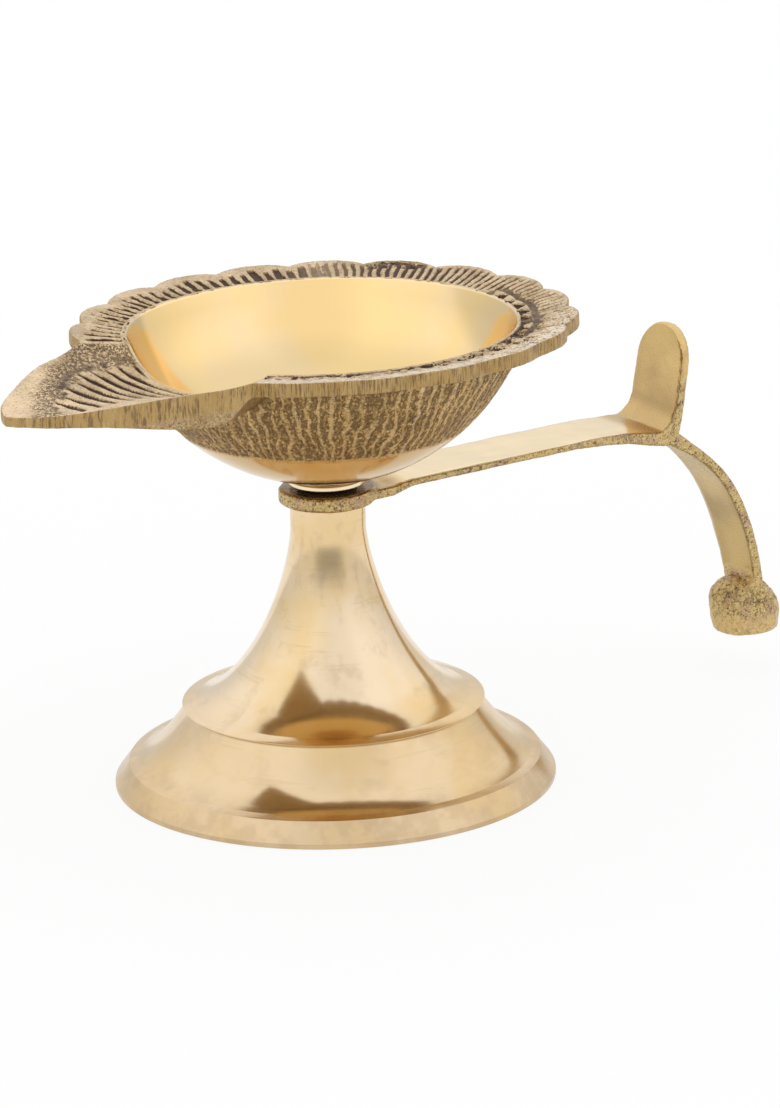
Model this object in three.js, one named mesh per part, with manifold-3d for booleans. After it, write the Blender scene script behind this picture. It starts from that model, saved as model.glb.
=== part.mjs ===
// A cast-brass aarti lamp: a leaf-shaped oil bowl with a petalled rim, screwed down through the eye
// of a curved handle onto a flared hollow stand. Millimetres, +Z up. The lamp stands on z = 0 with
// its spout along -X, and the origin is the middle of its bounding box, on the table.

import * as THREE from 'three';
import { mergeVertices } from 'three/addons/utils/BufferGeometryUtils.js';
import Module from 'manifold-3d';

const wasm = await Module();
wasm.setup();

// Stand: a hollow cone with a polished neck, a band between two crease rings, and a sloping lip
const baseRadius = 35;
const baseEdge = 0.8; // upright edge under the lip
const lipWidth = 2.3; // from the base's edge in to the lower crease ring
const lipHeight = 3.85;
const bandWidth = 9.3; // from the lower crease ring in to the top of the band
const coneOverhang = 0.75; // the cone's foot stands this far out over the band
const coneFootHeight = 13.1; // upper crease ring
const coneStep = 0.5;
const standHeight = 45.6;
const neckRadius = 5.96;
const neckLength = 4.1; // straight part below the handle's eye
const neckSolid = 14.6; // metal from the top of the neck down to the roof of the hollow
const standWall = 2; // beside the roof of the hollow
const restWidth = 2; // flat ring that the lamp stands on
const coneFlare = [1.5, 0.6];
const bandFlare = [1, 0.65];
const hollowFlare = 1.5;

// Handle: one casting of an eye, a flat bar, a thumb rest, a curved tail and a button foot
const handleTurn = -7.3; // degrees from the line opposite the spout
const eyeRadius = 7.4;
const eyeThickness = 2.4;
const barWidth = 11.4;
const barThickness = 1.2;
const barTopDrop = 0.5; // the bar's top lies this far below the top of the eye
const barRoot = 5; // length over which the bar thins out from the eye
const barSwell = 1.6; // extra thickness under the thumb rest
const barSwellLength = 9.6;
const thumbReach = 65.6; // from the stand's axis to the foot of the thumb rest
const thumbWidth = 11;
const thumbThickness = 1.7;
const thumbHeight = 14.9; // above the bar's top
const thumbLean = 12; // degrees outwards
const thumbFillet = 1.9; // extra thickness where the thumb rest leaves the bar
const thumbFilletHeight = 2.4;
const thumbRootDepth = 1.4; // how far the thumb rest's root reaches into the bar
const tailReach = 18.6; // from the thumb rest out to the middle of the button foot
const tailWidth = 7;
const tailThickness = 1.8;
const tailRoot = 0.9; // extra thickness at the tail's upper end
const tailEnd = 1.2; // extra thickness where the tail runs into the foot
const footGap = 7.4; // from the table up to the underside of the button foot
const footRadius = 5.8;
const footFaceRadius = 5.1;
const footWaist = 3; // height of the foot's widest ring above its face
const footHeight = 8.8;
const edgeCut = 0.25; // broken edges of the casting

// Fasteners: a 5 mm stud from the bowl's foot down into the hollow of the stand
const studRadius = 2.5;
const studPoint = 0.5; // chamfer at its ends
const threadPitch = 0.8;
const bowlTurns = 4; // turns that free the bowl from the stud
const studEndSpare = 1.6; // stud showing below the nut
const boreClearance = 0.3;
const studTopClearance = 0.4;
const lockWasherRadius = 4.7;
const lockWasherThickness = 0.6;
const lockWasherTeeth = 8;
const lockToothDepth = 0.5;
const collarRadius = 6.1;
const collarThickness = 0.8;
const collarBevel = 0.2;
const plainWasherRadius = 5;
const plainWasherThickness = 1;
const nutAcrossFlats = 8;
const nutThickness = 4;

// Bowl: a spherical well with a flattened floor, in a spherical shell, under a flat petalled rim
// that runs out into a leaf-shaped spout
const wellEdgeRadius = 30.4;
const wellCapDepth = 22; // from the well's edge to the bottom of its sphere, below the floor
const wellFloorWall = 1.5; // metal over the stud's bore
const bowlWall = 2.6;
const bowlFootRadius = 5.2;
const bowlFootHeight = 0.4;
const rimWidth = 7.8; // from the well's edge out to the notches between petals
const rimStretch = 0.4; // the petals reach this much further on the side away from the spout
const petalBulge = 1.35;
const petalRise = 0.55;
const petalGroove = 0.6;
const petalCount = 16;
const rimEdgeDepth = 2.2;
const rimUnderside = 3; // from the well's edge down to where the rim's underside meets the shell
const spoutAngle = 64; // degrees of the rim that the spout takes up
const spoutReach = 64.4;
const spoutDip = 4.8; // depth of the trough at the well's edge
const spoutTipDepth = 1.8;
const spoutSideDepth = 4.4; // height of the spout's side where it meets the petals
const troughRamp = 1.3; // above 1 the trough flattens towards its upper end
const dipRamp = 4; // steepness of the well's edge as it drops at the spout's corners
const sideRamp = 0.7;

// Half of the spout's outline: shares of the way from its shoulder out to its tip, and of its half
// width at the shoulder
const spoutShares = [
  [0, 1], [0.22, 0.83], [0.42, 0.69], [0.64, 0.49], [0.86, 0.272], [0.97, 0.12], [1, 0],
];

const brass = { color: 0xc9a660, metalness: 1 };
const steel = { color: 0x8d8f92, metalness: 1, roughness: 0.4 };

// Steps of the round and curved surfaces
const turnedSteps = 64;
const boreSteps = 24;
const footSteps = 28;
const coneSteps = 13;
const bandSteps = 5;
const hollowSteps = 8;
const shellSteps = 7;
const wellSteps = 7;
const rimSteps = 4;
const undersideSteps = 3;
const petalSteps = 4;
const spoutSteps = 32;
const tailSteps = 9;
const thumbSteps = 7;

const radians = THREE.MathUtils.degToRad;
const mix = THREE.MathUtils.lerp;

// Heights of the stack on the neck, from the stand up
const boreRadius = studRadius + boreClearance;
const eyeTop = standHeight + eyeThickness;
const collarBottom = eyeTop + lockWasherThickness;
const collarTop = collarBottom + collarThickness;
const studTop = collarTop + bowlTurns * threadPitch;
const bowlBoreTop = studTop + studTopClearance;
const wellFloor = bowlBoreTop + wellFloorWall;

// Heights under the neck, from the roof of the hollow down
const hollowTop = standHeight - neckSolid;
const nutTop = hollowTop - plainWasherThickness;
const nutBottom = nutTop - nutThickness;
const studBottom = nutBottom - studEndSpare;

// The well's sphere, and the shell's sphere round it, which stands on the bowl's foot
const wellRadius = (wellEdgeRadius ** 2 + wellCapDepth ** 2) / (2 * wellCapDepth);
const shellRadius = wellRadius + bowlWall;
const wellCentre = collarTop + bowlFootHeight + Math.sqrt(shellRadius ** 2 - bowlFootRadius ** 2);
const bowlHeight = wellCentre - wellRadius + wellCapDepth;
const rimNotchRadius = wellEdgeRadius + rimWidth;

// Place of the stand's axis that puts the origin in the middle of the bounding box
const handleAngle = radians(handleTurn);
const footReach = thumbReach + tailReach;
const handleEnd = footReach * Math.cos(handleAngle) + footRadius;
const axisX = (spoutReach - handleEnd) / 2;

// Flare of a turned profile from 0 to 1: gentle at first, then nearly flat at the end
function flare(t, [start, end]) {
  return 1 - Math.pow(1 - Math.pow(t, start), end);
}

// Evenly spaced shares from 0 to 1
function shares(steps) {
  return Array.from({ length: steps + 1 }, (_, i) => i / steps);
}

function turned(points, steps) {
  return new THREE.LatheGeometry(points.map(([r, z]) => new THREE.Vector2(r, z)), steps).rotateX(Math.PI / 2);
}

function piece(name, geometry, look, roughness) {
  const material = new THREE.MeshStandardMaterial({ roughness, ...look });
  const mesh = new THREE.Mesh(geometry, material);
  mesh.name = name;
  return mesh;
}

function toSolid(geometry) {
  const bare = geometry.clone();
  bare.deleteAttribute('normal');
  bare.deleteAttribute('uv');
  const merged = mergeVertices(bare, 1e-5);
  const vertProperties = new Float32Array(merged.attributes.position.array);
  const triVerts = new Uint32Array(merged.index.array);
  return new wasm.Manifold(new wasm.Mesh({ numProp: 3, vertProperties, triVerts }));
}

function toGeometry(solid) {
  const mesh = solid.getMesh();
  const geometry = new THREE.BufferGeometry();
  geometry.setAttribute('position', new THREE.BufferAttribute(mesh.vertProperties, 3));
  geometry.setIndex(new THREE.BufferAttribute(mesh.triVerts, 1));
  return geometry;
}

// A closed skin over rows of points, each row a loop of the same length, or one point at either end
function skin(rows) {
  const starts = [];
  let count = 0;
  for (const row of rows) {
    starts.push(count);
    count += row.length;
  }
  const index = [];
  for (let k = 0; k + 1 < rows.length; k += 1) {
    const steps = Math.max(rows[k].length, rows[k + 1].length);
    const corner = (row, i) => starts[row] + (rows[row].length > 1 ? i : 0);
    for (let i = 0; i < steps; i += 1) {
      const next = (i + 1) % steps;
      const [a, b, c, d] = [corner(k, i), corner(k, next), corner(k + 1, i), corner(k + 1, next)];
      if (a !== b) index.push(a, b, d);
      if (c !== d) index.push(a, d, c);
    }
  }
  const geometry = new THREE.BufferGeometry();
  geometry.setAttribute('position', new THREE.Float32BufferAttribute(rows.flat(2), 3));
  geometry.setIndex(index);
  return geometry;
}

function makeStand() {
  const lipRadius = baseRadius - lipWidth;
  const bandTopRadius = lipRadius - bandWidth;
  const bandTop = coneFootHeight - coneStep;
  const coneTop = standHeight - neckLength;
  const coneRadius = (t) => mix(neckRadius, bandTopRadius + coneOverhang, flare(t, coneFlare));
  const mouthRadius = baseRadius - restWidth;
  const roofRadius = coneRadius((coneTop - hollowTop) / (coneTop - coneFootHeight)) - standWall;
  const cone = shares(coneSteps).map((t) => [coneRadius(t), mix(coneTop, coneFootHeight, t)]);
  const band = shares(bandSteps).map((t) => [
    mix(bandTopRadius, lipRadius, flare(t, bandFlare)),
    mix(bandTop, lipHeight, t),
  ]);
  const hollow = shares(hollowSteps).map((t) => [
    mix(roofRadius, mouthRadius, Math.pow(1 - t, hollowFlare)),
    mix(0, hollowTop, t),
  ]);
  const profile = [
    [boreRadius, standHeight], [neckRadius, standHeight],
    ...cone, ...band,
    [baseRadius, baseEdge], [baseRadius, 0],
    ...hollow,
    [boreRadius, hollowTop], [boreRadius, standHeight],
  ];
  return turned(profile.reverse(), turnedSteps);
}

// Distance from the bowl's axis to the outline of the spout, at an angle from the spout's own line
const spoutHalf = radians(spoutAngle / 2);
const spoutOutline = new THREE.SplineCurve(spoutShares.map(([along, wide]) => new THREE.Vector2(
  mix(rimNotchRadius * Math.cos(spoutHalf), spoutReach, along),
  wide * rimNotchRadius * Math.sin(spoutHalf),
))).getPoints(4 * spoutSteps);

function spoutEdge(angle) {
  const away = Math.abs(angle);
  const turn = (p) => Math.atan2(p.y, p.x);
  const i = Math.max(1, spoutOutline.findIndex((p) => turn(p) <= away));
  const [before, after] = [spoutOutline[i - 1], spoutOutline[i]];
  const t = THREE.MathUtils.clamp((turn(before) - away) / (turn(before) - turn(after)), 0, 1);
  return mix(before.length(), after.length(), t);
}

// The bowl's outline at each angle round its axis. The petals share the rim equally, apart from the
// spout's part of it. edge is the outline's radius, petal runs from -1 to 1 across a petal, and
// spout runs from 0 at the petals to 1 on the spout's own line.
function bowlStations() {
  const petalsHalf = Math.PI - spoutHalf;
  const petalStations = petalCount * petalSteps;
  const stations = [];
  for (let i = 0; i < petalStations; i += 1) {
    const angle = petalsHalf * (2 * i / petalStations - 1);
    const petal = 2 * (i % petalSteps) / petalSteps - 1;
    const edge = rimNotchRadius + rimStretch * Math.cos(angle) + petalBulge * (1 - petal * petal);
    stations.push({ angle, petal, spout: 0, edge });
  }
  for (let i = 0; i < spoutSteps; i += 1) {
    const away = spoutHalf * (1 - 2 * i / spoutSteps);
    const spout = 1 - Math.abs(away) / spoutHalf;
    stations.push({ angle: Math.PI - away, petal: 1, spout, edge: spoutEdge(away) });
  }
  return stations;
}

function makeBowl() {
  const ballAngle = (radius, z) => Math.acos(THREE.MathUtils.clamp((wellCentre - z) / radius, -1, 1));
  const onBall = (radius, lean) => [radius * Math.sin(lean), wellCentre - radius * Math.cos(lean)];
  const stations = bowlStations().map((s) => {
    const dipped = spoutDip * (1 - Math.pow(1 - s.spout, dipRamp));
    const sideDepth = mix(spoutTipDepth, spoutSideDepth, Math.pow(1 - s.spout, sideRamp));
    const edgeDepth = s.spout > 0 ? sideDepth : rimEdgeDepth;
    return { ...s, dipped, edgeDepth };
  });
  const loop = (place) => stations.map((s) => {
    const [r, z] = place(s);
    return [r * Math.cos(s.angle), r * Math.sin(s.angle), z];
  });
  const floorLean = ballAngle(wellRadius, wellFloor);
  const wellPlace = (s, t) => {
    const edgeLean = ballAngle(wellRadius, bowlHeight - s.dipped);
    return onBall(wellRadius, mix(floorLean, edgeLean, t));
  };
  const topPlace = (s, t) => {
    const [inner] = wellPlace(s, 1);
    const trough = s.dipped * Math.pow(1 - t, s.spout > 0 ? troughRamp : 1);
    const rise = s.spout > 0 ? 0 : petalRise * t - petalGroove * t * Math.pow(Math.abs(s.petal), 3);
    return [mix(inner, s.edge, t), bowlHeight - trough + rise];
  };
  const footLean = Math.asin(bowlFootRadius / shellRadius);
  const shellPlace = (s, t) => {
    const rootLean = ballAngle(shellRadius, bowlHeight - rimUnderside - s.dipped);
    return onBall(shellRadius, mix(footLean, rootLean, t));
  };
  const underPlace = (s, t) => {
    const [edge, top] = topPlace(s, 1);
    const [root, rootHeight] = shellPlace(s, 1);
    return [mix(root, edge, t), mix(rootHeight, top - s.edgeDepth, t)];
  };
  const rows = [
    [[0, 0, bowlBoreTop]],
    loop(() => [boreRadius, bowlBoreTop]),
    loop(() => [boreRadius, collarTop]),
    loop(() => [bowlFootRadius, collarTop]),
    ...shares(shellSteps).map((t) => loop((s) => shellPlace(s, t))),
    ...shares(undersideSteps).slice(1).map((t) => loop((s) => underPlace(s, t))),
    ...shares(rimSteps).reverse().map((t) => loop((s) => topPlace(s, t))),
    ...shares(wellSteps).reverse().slice(1).map((t) => loop((s) => wellPlace(s, t))),
    [[0, 0, wellFloor]],
  ];
  return skin(rows);
}

// A flat strip along a curve in the handle's upright plane. Each station is [out, up, width,
// thickness], and its section is a rectangle with its four edges cut off.
function strip(stations) {
  const rows = stations.map(([out, up, width, thickness], i) => {
    const [a, b] = [stations[Math.max(0, i - 1)], stations[Math.min(stations.length - 1, i + 1)]];
    const along = new THREE.Vector2(b[0] - a[0], b[1] - a[1]).normalize();
    const [w, h] = [width / 2, thickness / 2];
    const section = [
      [-w + edgeCut, -h], [w - edgeCut, -h], [w, -h + edgeCut], [w, h - edgeCut],
      [w - edgeCut, h], [-w + edgeCut, h], [-w, h - edgeCut], [-w, -h + edgeCut],
    ];
    return section.map(([across, off]) => [out - along.y * off, -across, up + along.x * off]);
  });
  const middle = ([out, up]) => [[out, 0, up]];
  return skin([middle(stations[0]), ...rows, middle(stations.at(-1))].reverse());
}

// The bar's stations, from inside the eye to below the thumb rest, with its top kept level
function barStations(barTop) {
  const level = (out, thickness) => [out, barTop - thickness / 2, barWidth, thickness];
  const swell = (t) => level(thumbReach - barSwellLength * (1 - t), barThickness + barSwell * t);
  const rootTop = mix(eyeTop, barTop, 0.5) - edgeCut;
  const rootThickness = rootTop - standHeight - edgeCut;
  const root = [rootTop - rootThickness / 2, barWidth, rootThickness];
  return [
    [eyeRadius / 2, ...root],
    [eyeRadius + barRoot / 4, ...root],
    level(eyeRadius + barRoot, barThickness),
    swell(0),
    swell(0.5),
    swell(0.8),
  ];
}

// The tail's stations, down one smooth curve from the thumb rest into the button foot
function tailStations(barTop, footTop) {
  const place = (out, up) => new THREE.Vector2(thumbReach + out * tailReach, mix(footTop, barTop, up));
  const curve = new THREE.CubicBezierCurve(place(0, 0.93), place(0.4, 0.71), place(1, 0.46), place(1, -0.07));
  return shares(tailSteps).map((t) => {
    const point = curve.getPoint(t);
    const nearBar = Math.pow(1 - t, 6);
    const width = mix(tailWidth, barWidth, 0.8 * nearBar);
    return [point.x, point.y, width, tailThickness + tailRoot * nearBar + tailEnd * Math.pow(t, 4)];
  });
}

// The thumb rest's stations, from its root in the bar up to its round top
function thumbStations(barTop) {
  const lean = Math.tan(radians(thumbLean));
  const station = (up, width, extra) =>
    [thumbReach + up * lean - extra / 2, barTop + up, width, thumbThickness + extra];
  const round = thumbWidth / 2;
  const shoulder = thumbHeight - round;
  return [
    ...shares(3).map((t) => station(
      mix(-thumbRootDepth, thumbFilletHeight, t),
      thumbWidth,
      thumbFillet * Math.pow(1 - t, 1.5),
    )),
    ...shares(thumbSteps).map((t) => {
      const turn = 0.92 * t * Math.PI / 2;
      return station(shoulder + round * Math.sin(turn), thumbWidth * Math.cos(turn), 0);
    }),
  ];
}

function makeHandle() {
  const barTop = eyeTop - barTopDrop;
  const footTop = footGap + footHeight;
  const flank = shares(3).map((t) => [
    mix(footFaceRadius, footRadius, Math.sin(t * Math.PI / 2)),
    footGap + footWaist * t,
  ]);
  const dome = shares(4).slice(1, -1).map((t) => [
    footRadius * Math.cos(t * Math.PI / 2),
    mix(footGap + footWaist, footTop, Math.sin(t * Math.PI / 2)),
  ]);
  const foot = turned([[0, footGap], ...flank, ...dome, [0, footTop]], footSteps);
  const eye = turned([[0, standHeight], [eyeRadius, standHeight], [eyeRadius, eyeTop], [0, eyeTop]], turnedSteps);
  const below = standHeight - eyeThickness;
  const above = eyeTop + eyeThickness;
  const bore = turned([[0, below], [boreRadius, below], [boreRadius, above], [0, above]], boreSteps);
  const casting = toSolid(eye)
    .add(toSolid(strip([...barStations(barTop), ...tailStations(barTop, footTop)])))
    .add(toSolid(strip(thumbStations(barTop))))
    .add(toSolid(foot.translate(footReach, 0, 0)))
    .subtract(toSolid(bore));
  return toGeometry(casting);
}

function ring(outer, inner, bottom, thickness, bevel = 0) {
  const top = bottom + thickness;
  const edge = bevel > 0
    ? [[outer - bevel, bottom], [outer, bottom + bevel], [outer, top - bevel], [outer - bevel, top]]
    : [[outer, bottom], [outer, top]];
  return turned([[inner, bottom], ...edge, [inner, top], [inner, bottom]], 2 * boreSteps);
}

function makeStud() {
  return turned([
    [0, studBottom], [studRadius - studPoint, studBottom], [studRadius, studBottom + studPoint],
    [studRadius, studTop - studPoint], [studRadius - studPoint, studTop], [0, studTop],
  ], boreSteps);
}

function makeNut() {
  const corner = nutAcrossFlats / Math.sqrt(3);
  const round = (radius, steps) => shares(steps).slice(1).map((t) => new THREE.Vector2(
    radius * Math.cos(2 * Math.PI * t),
    radius * Math.sin(2 * Math.PI * t),
  ));
  const hexagon = new THREE.Shape(round(corner, 6));
  hexagon.holes.push(new THREE.Path(round(boreRadius, boreSteps).reverse()));
  return new THREE.ExtrudeGeometry(hexagon, { depth: nutThickness, bevelEnabled: false })
    .translate(0, 0, nutBottom);
}

// A thin washer with square teeth round its hole
function makeLockWasher() {
  const outline = new THREE.Shape(new THREE.EllipseCurve(0, 0, lockWasherRadius, lockWasherRadius)
    .getPoints(2 * boreSteps).slice(0, -1));
  const hole = shares(4 * lockWasherTeeth).slice(1).map((t, i) => {
    const radius = boreRadius + (i % 4 < 2 ? 0 : lockToothDepth);
    return new THREE.Vector2(radius * Math.cos(2 * Math.PI * t), -radius * Math.sin(2 * Math.PI * t));
  });
  outline.holes.push(new THREE.Path(hole));
  return new THREE.ExtrudeGeometry(outline, { depth: lockWasherThickness, bevelEnabled: false })
    .translate(0, 0, eyeTop);
}

const lamp = new THREE.Group();
lamp.position.x = axisX;

const plainWasher = ring(plainWasherRadius, boreRadius, nutTop, plainWasherThickness);
const collarWasher = ring(collarRadius, boreRadius, collarBottom, collarThickness, collarBevel);

lamp.add(piece('stand', makeStand(), brass, 0.25));
lamp.add(piece('stud', makeStud(), steel));
lamp.add(piece('hex_nut', makeNut(), steel));
lamp.add(piece('plain_washer', plainWasher, steel));
lamp.add(piece('lock_washer', makeLockWasher(), steel));
lamp.add(piece('collar_washer', collarWasher, brass, 0.15));
lamp.add(piece('bowl', makeBowl(), brass, 0.35));

const handle = piece('handle', makeHandle(), brass, 0.45);
handle.rotation.z = handleAngle;
lamp.add(handle);

const diya = new THREE.Group();
diya.add(lamp);

export default diya;
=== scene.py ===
"""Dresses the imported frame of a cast-brass oil lamp: a turned stand, a carved leaf-shaped bowl, a cast
handle and the screw joint that holds them. Laid out as an add-on, and run as a script. Metres, +Z up,
with the spout along -X."""

import math

import bpy
import numpy as np
from mathutils import Matrix, Vector


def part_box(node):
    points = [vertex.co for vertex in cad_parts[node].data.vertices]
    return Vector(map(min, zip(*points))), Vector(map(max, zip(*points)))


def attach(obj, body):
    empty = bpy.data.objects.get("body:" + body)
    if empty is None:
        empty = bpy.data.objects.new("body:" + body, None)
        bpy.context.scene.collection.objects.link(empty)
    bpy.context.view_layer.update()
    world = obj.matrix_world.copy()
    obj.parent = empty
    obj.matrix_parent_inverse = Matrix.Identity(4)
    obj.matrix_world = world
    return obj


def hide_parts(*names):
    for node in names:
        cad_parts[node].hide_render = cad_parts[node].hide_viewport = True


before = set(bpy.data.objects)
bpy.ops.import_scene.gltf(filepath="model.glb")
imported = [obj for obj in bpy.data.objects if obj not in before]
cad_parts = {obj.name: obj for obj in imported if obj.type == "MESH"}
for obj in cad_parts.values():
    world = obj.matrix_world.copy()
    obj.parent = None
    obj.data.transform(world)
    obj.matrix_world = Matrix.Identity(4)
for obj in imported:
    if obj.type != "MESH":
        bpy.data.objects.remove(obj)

bl_info = {
    "name": "Cast-brass oil lamp",
    "version": (1, 0, 0),
    "blender": (4, 5, 0),
    "location": "3D View > Sidebar > Oil lamp",
    "description": "Makes the pieces, the finishes and the stage of a hand-held oil lamp",
    "category": "Add Mesh",
}

MM = 0.001
TURN = 2 * math.pi

# The frame's own measures: the axis of the turned pieces and the heights of the stack on the neck
STAND_LOW, STAND_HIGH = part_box("stand")
HANDLE_LOW, HANDLE_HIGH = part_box("handle")
COLLAR_LOW, COLLAR_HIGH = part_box("collar_washer")
LOCK_LOW, LOCK_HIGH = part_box("lock_washer")
NUT_LOW, NUT_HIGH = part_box("hex_nut")
WASHER_LOW, WASHER_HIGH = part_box("plain_washer")
STUD_LOW, STUD_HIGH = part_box("stud")
BOWL_LOW, BOWL_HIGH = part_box("bowl")
AXIS_X = (STAND_LOW.x + STAND_HIGH.x) / 2
AXIS = Matrix.Translation((AXIS_X, 0, 0))
HANDLE_EYE_TOP = LOCK_LOW.z
STUD_RADIUS = (STUD_HIGH.x - STUD_LOW.x) / 2
BORE_CLEARANCE = 0.3 * MM
BORE_RADIUS = STUD_RADIUS + BORE_CLEARANCE

# Broken edges of the handle's flat strips
STRIP_EDGE = 0.25 * MM

# The points of the spout's outline: the share of the way to its tip, and its width there as a share of
# its width at the rim
SPOUT_OUTLINE = ((0, 1), (0.22, 0.85), (0.42, 0.735), (0.64, 0.54), (0.86, 0.3), (0.965, 0.11), (1, 0))

# Rows of the bowl's top skin: those of the well, the places of those on the bend at its edge and on the
# bends of the side, and the span of numbers that the rows of the carved top share
WELL_ROWS = 13
WELL_BEND = (0.35, 0.7)
SIDE_BEND = (0.33, 0.67)
ROWS_BEFORE_TOP = WELL_ROWS + len(WELL_BEND)
TOP_SPAN = 40

# The petals' cuts lean one way on one side of this angle and the other way beyond it. They stand
# straight beside the spout, within this share of half its arc.
SLANT_SIDE = math.radians(60)
SLANT_FADE = 0.5

# The spout's carving, seen from above: u runs from the axis to the tip and v to the far side. The veins
# are counted from one u and bend towards the tip below one v. On the far side they end along a curve
# whose highest place is given, on the near side at one v, and towards the tip at one u. The smooth
# border begins at a line with a slope and a curve, which is given at one place.
VEIN_FIRST = 1.65 * MM
VEIN_BEND_SIDE = 2 * MM
VEIN_BEND = 24.0
VEINS_FAR_U, VEINS_FAR_V, VEINS_FAR_CURVE = 28 * MM, 14.2 * MM, 18.6
VEINS_NEAR_V = -6.6 * MM
VEINS_TIP_U = 55 * MM
VEIN_END_SPREAD = 2.6 * MM
BORDER_U, BORDER_V, BORDER_SLOPE, BORDER_CURVE = 33.3 * MM, 20.8 * MM, 0.62, 8.0

# Where the finish of the spout begins, and where it is full, along x in millimetres
SPOUT_FINISH = (-36, -56)

# The corners of the tail's curve: the share of the way out from the thumb rest to the foot's middle, and
# the share of the way up from the foot's top to the bar
TAIL_CURVE = ((0.05, 0.93), (0.5, 0.76), (0.975, 0.45), (1.02, -0.07))

# The round top of the thumb rest stops a little short of its quarter turn, so that it has no point
THUMB_ROUND = 0.93 * math.pi / 2

# Where the carving changes, as angles round the axis: the crumbled near side, the fine cuts on the far
# right, the zigzag inside them, the stained petal, and the side on which the shell's ribs stand out
NEAR_SIDE = math.radians(-105)
FAR_RIGHT = math.radians(-15)
ZIGZAG_SIDE = math.radians(-38)
STAINED_PETAL = math.radians(29)
RIBBED_SIDE = math.radians(-60)

# Darker parts of the studio that polished brass shows: the direction, half the width, how dark and how
# high up they end
STUDIO_DARKS = (
    ((-0.67, -0.74, 0.12), math.radians(50), 0.48, 0.34),
    ((-0.42, -0.62, 0.80), math.radians(36), 0.12, 2.0),
)

# The lamps of the stage: name, place, width in metres and power in watts
STAGE_LIGHTS = (
    ("key_light", (-0.3, -0.65, 1.3), 1.3, 2.6),
    ("back_light", (0.5, 0.9, 0.9), 1.0, 1.4),
)
STAGE_MIDDLE = Vector((0, 0, 0.04))
FLOOR_DROP = 0.05 * MM


def length(name, description, millimetres, **limits):
    """A property that holds a length"""
    return bpy.props.FloatProperty(
        name=name, description=description, default=millimetres * MM,
        unit="LENGTH", subtype="DISTANCE", precision=5, **limits)


def angle(name, description, degrees):
    """A property that holds an angle"""
    return bpy.props.FloatProperty(
        name=name, description=description, default=math.radians(degrees),
        unit="ROTATION", subtype="ANGLE")


def share(name, description, value, highest=1.0):
    """A property that holds a share or a plain ratio"""
    return bpy.props.FloatProperty(
        name=name, description=description, default=value, min=0.0, max=highest, subtype="FACTOR")


def count(name, description, number):
    """A property that holds a whole number"""
    return bpy.props.IntProperty(name=name, description=description, default=number, min=1)


def colour(name, description, red, green, blue):
    """A property that holds a colour, in linear light"""
    return bpy.props.FloatVectorProperty(
        name=name, description=description, default=(red, green, blue), size=3,
        min=0.0, max=1.0, subtype="COLOR")


class StandSizes(bpy.types.PropertyGroup):
    """Sizes of the turned stand"""

    lip_width: length("Lip width", "From the base's edge in to the lower crease ring", 2.3)
    lip_height: length("Lip height", "Height of the lower crease ring", 3.85)
    base_edge: length("Base edge", "Upright edge under the lip", 0.8)
    band_width: length("Band width", "From the lower crease ring in to the top of the band", 9.3)
    cone_overhang: length("Cone overhang", "How far the cone's foot stands out over the band", 0.75)
    cone_foot_height: length("Cone foot height", "Height of the upper crease ring", 13.1)
    cone_step: length("Cone step", "Depth of the step under the cone's foot", 0.5)
    neck_radius: length("Neck radius", "Radius of the neck under the handle's eye", 5.96)
    neck_length: length("Neck length", "Straight part below the handle's eye", 4.1)
    neck_solid: length("Neck solid", "From the top of the neck to the roof of the hollow", 14.6)
    wall: length("Wall", "Metal beside the roof of the hollow", 2)
    rest_width: length("Rest width", "Flat ring that the lamp stands on", 2)
    cone_start: share("Cone start", "How gently the cone's flare starts", 1.5, 4)
    cone_end: share("Cone end", "How flat the cone's flare ends", 0.55, 4)
    band_end: share("Band end", "How flat the band's flare ends", 0.58, 4)
    hollow_flare: share("Hollow flare", "Steepness of the hollow's flare", 1.5, 4)
    crease: length("Crease", "Radius of the turned edges", 0.22)
    steps: count("Steps", "Faces round the stand", 288)


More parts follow.
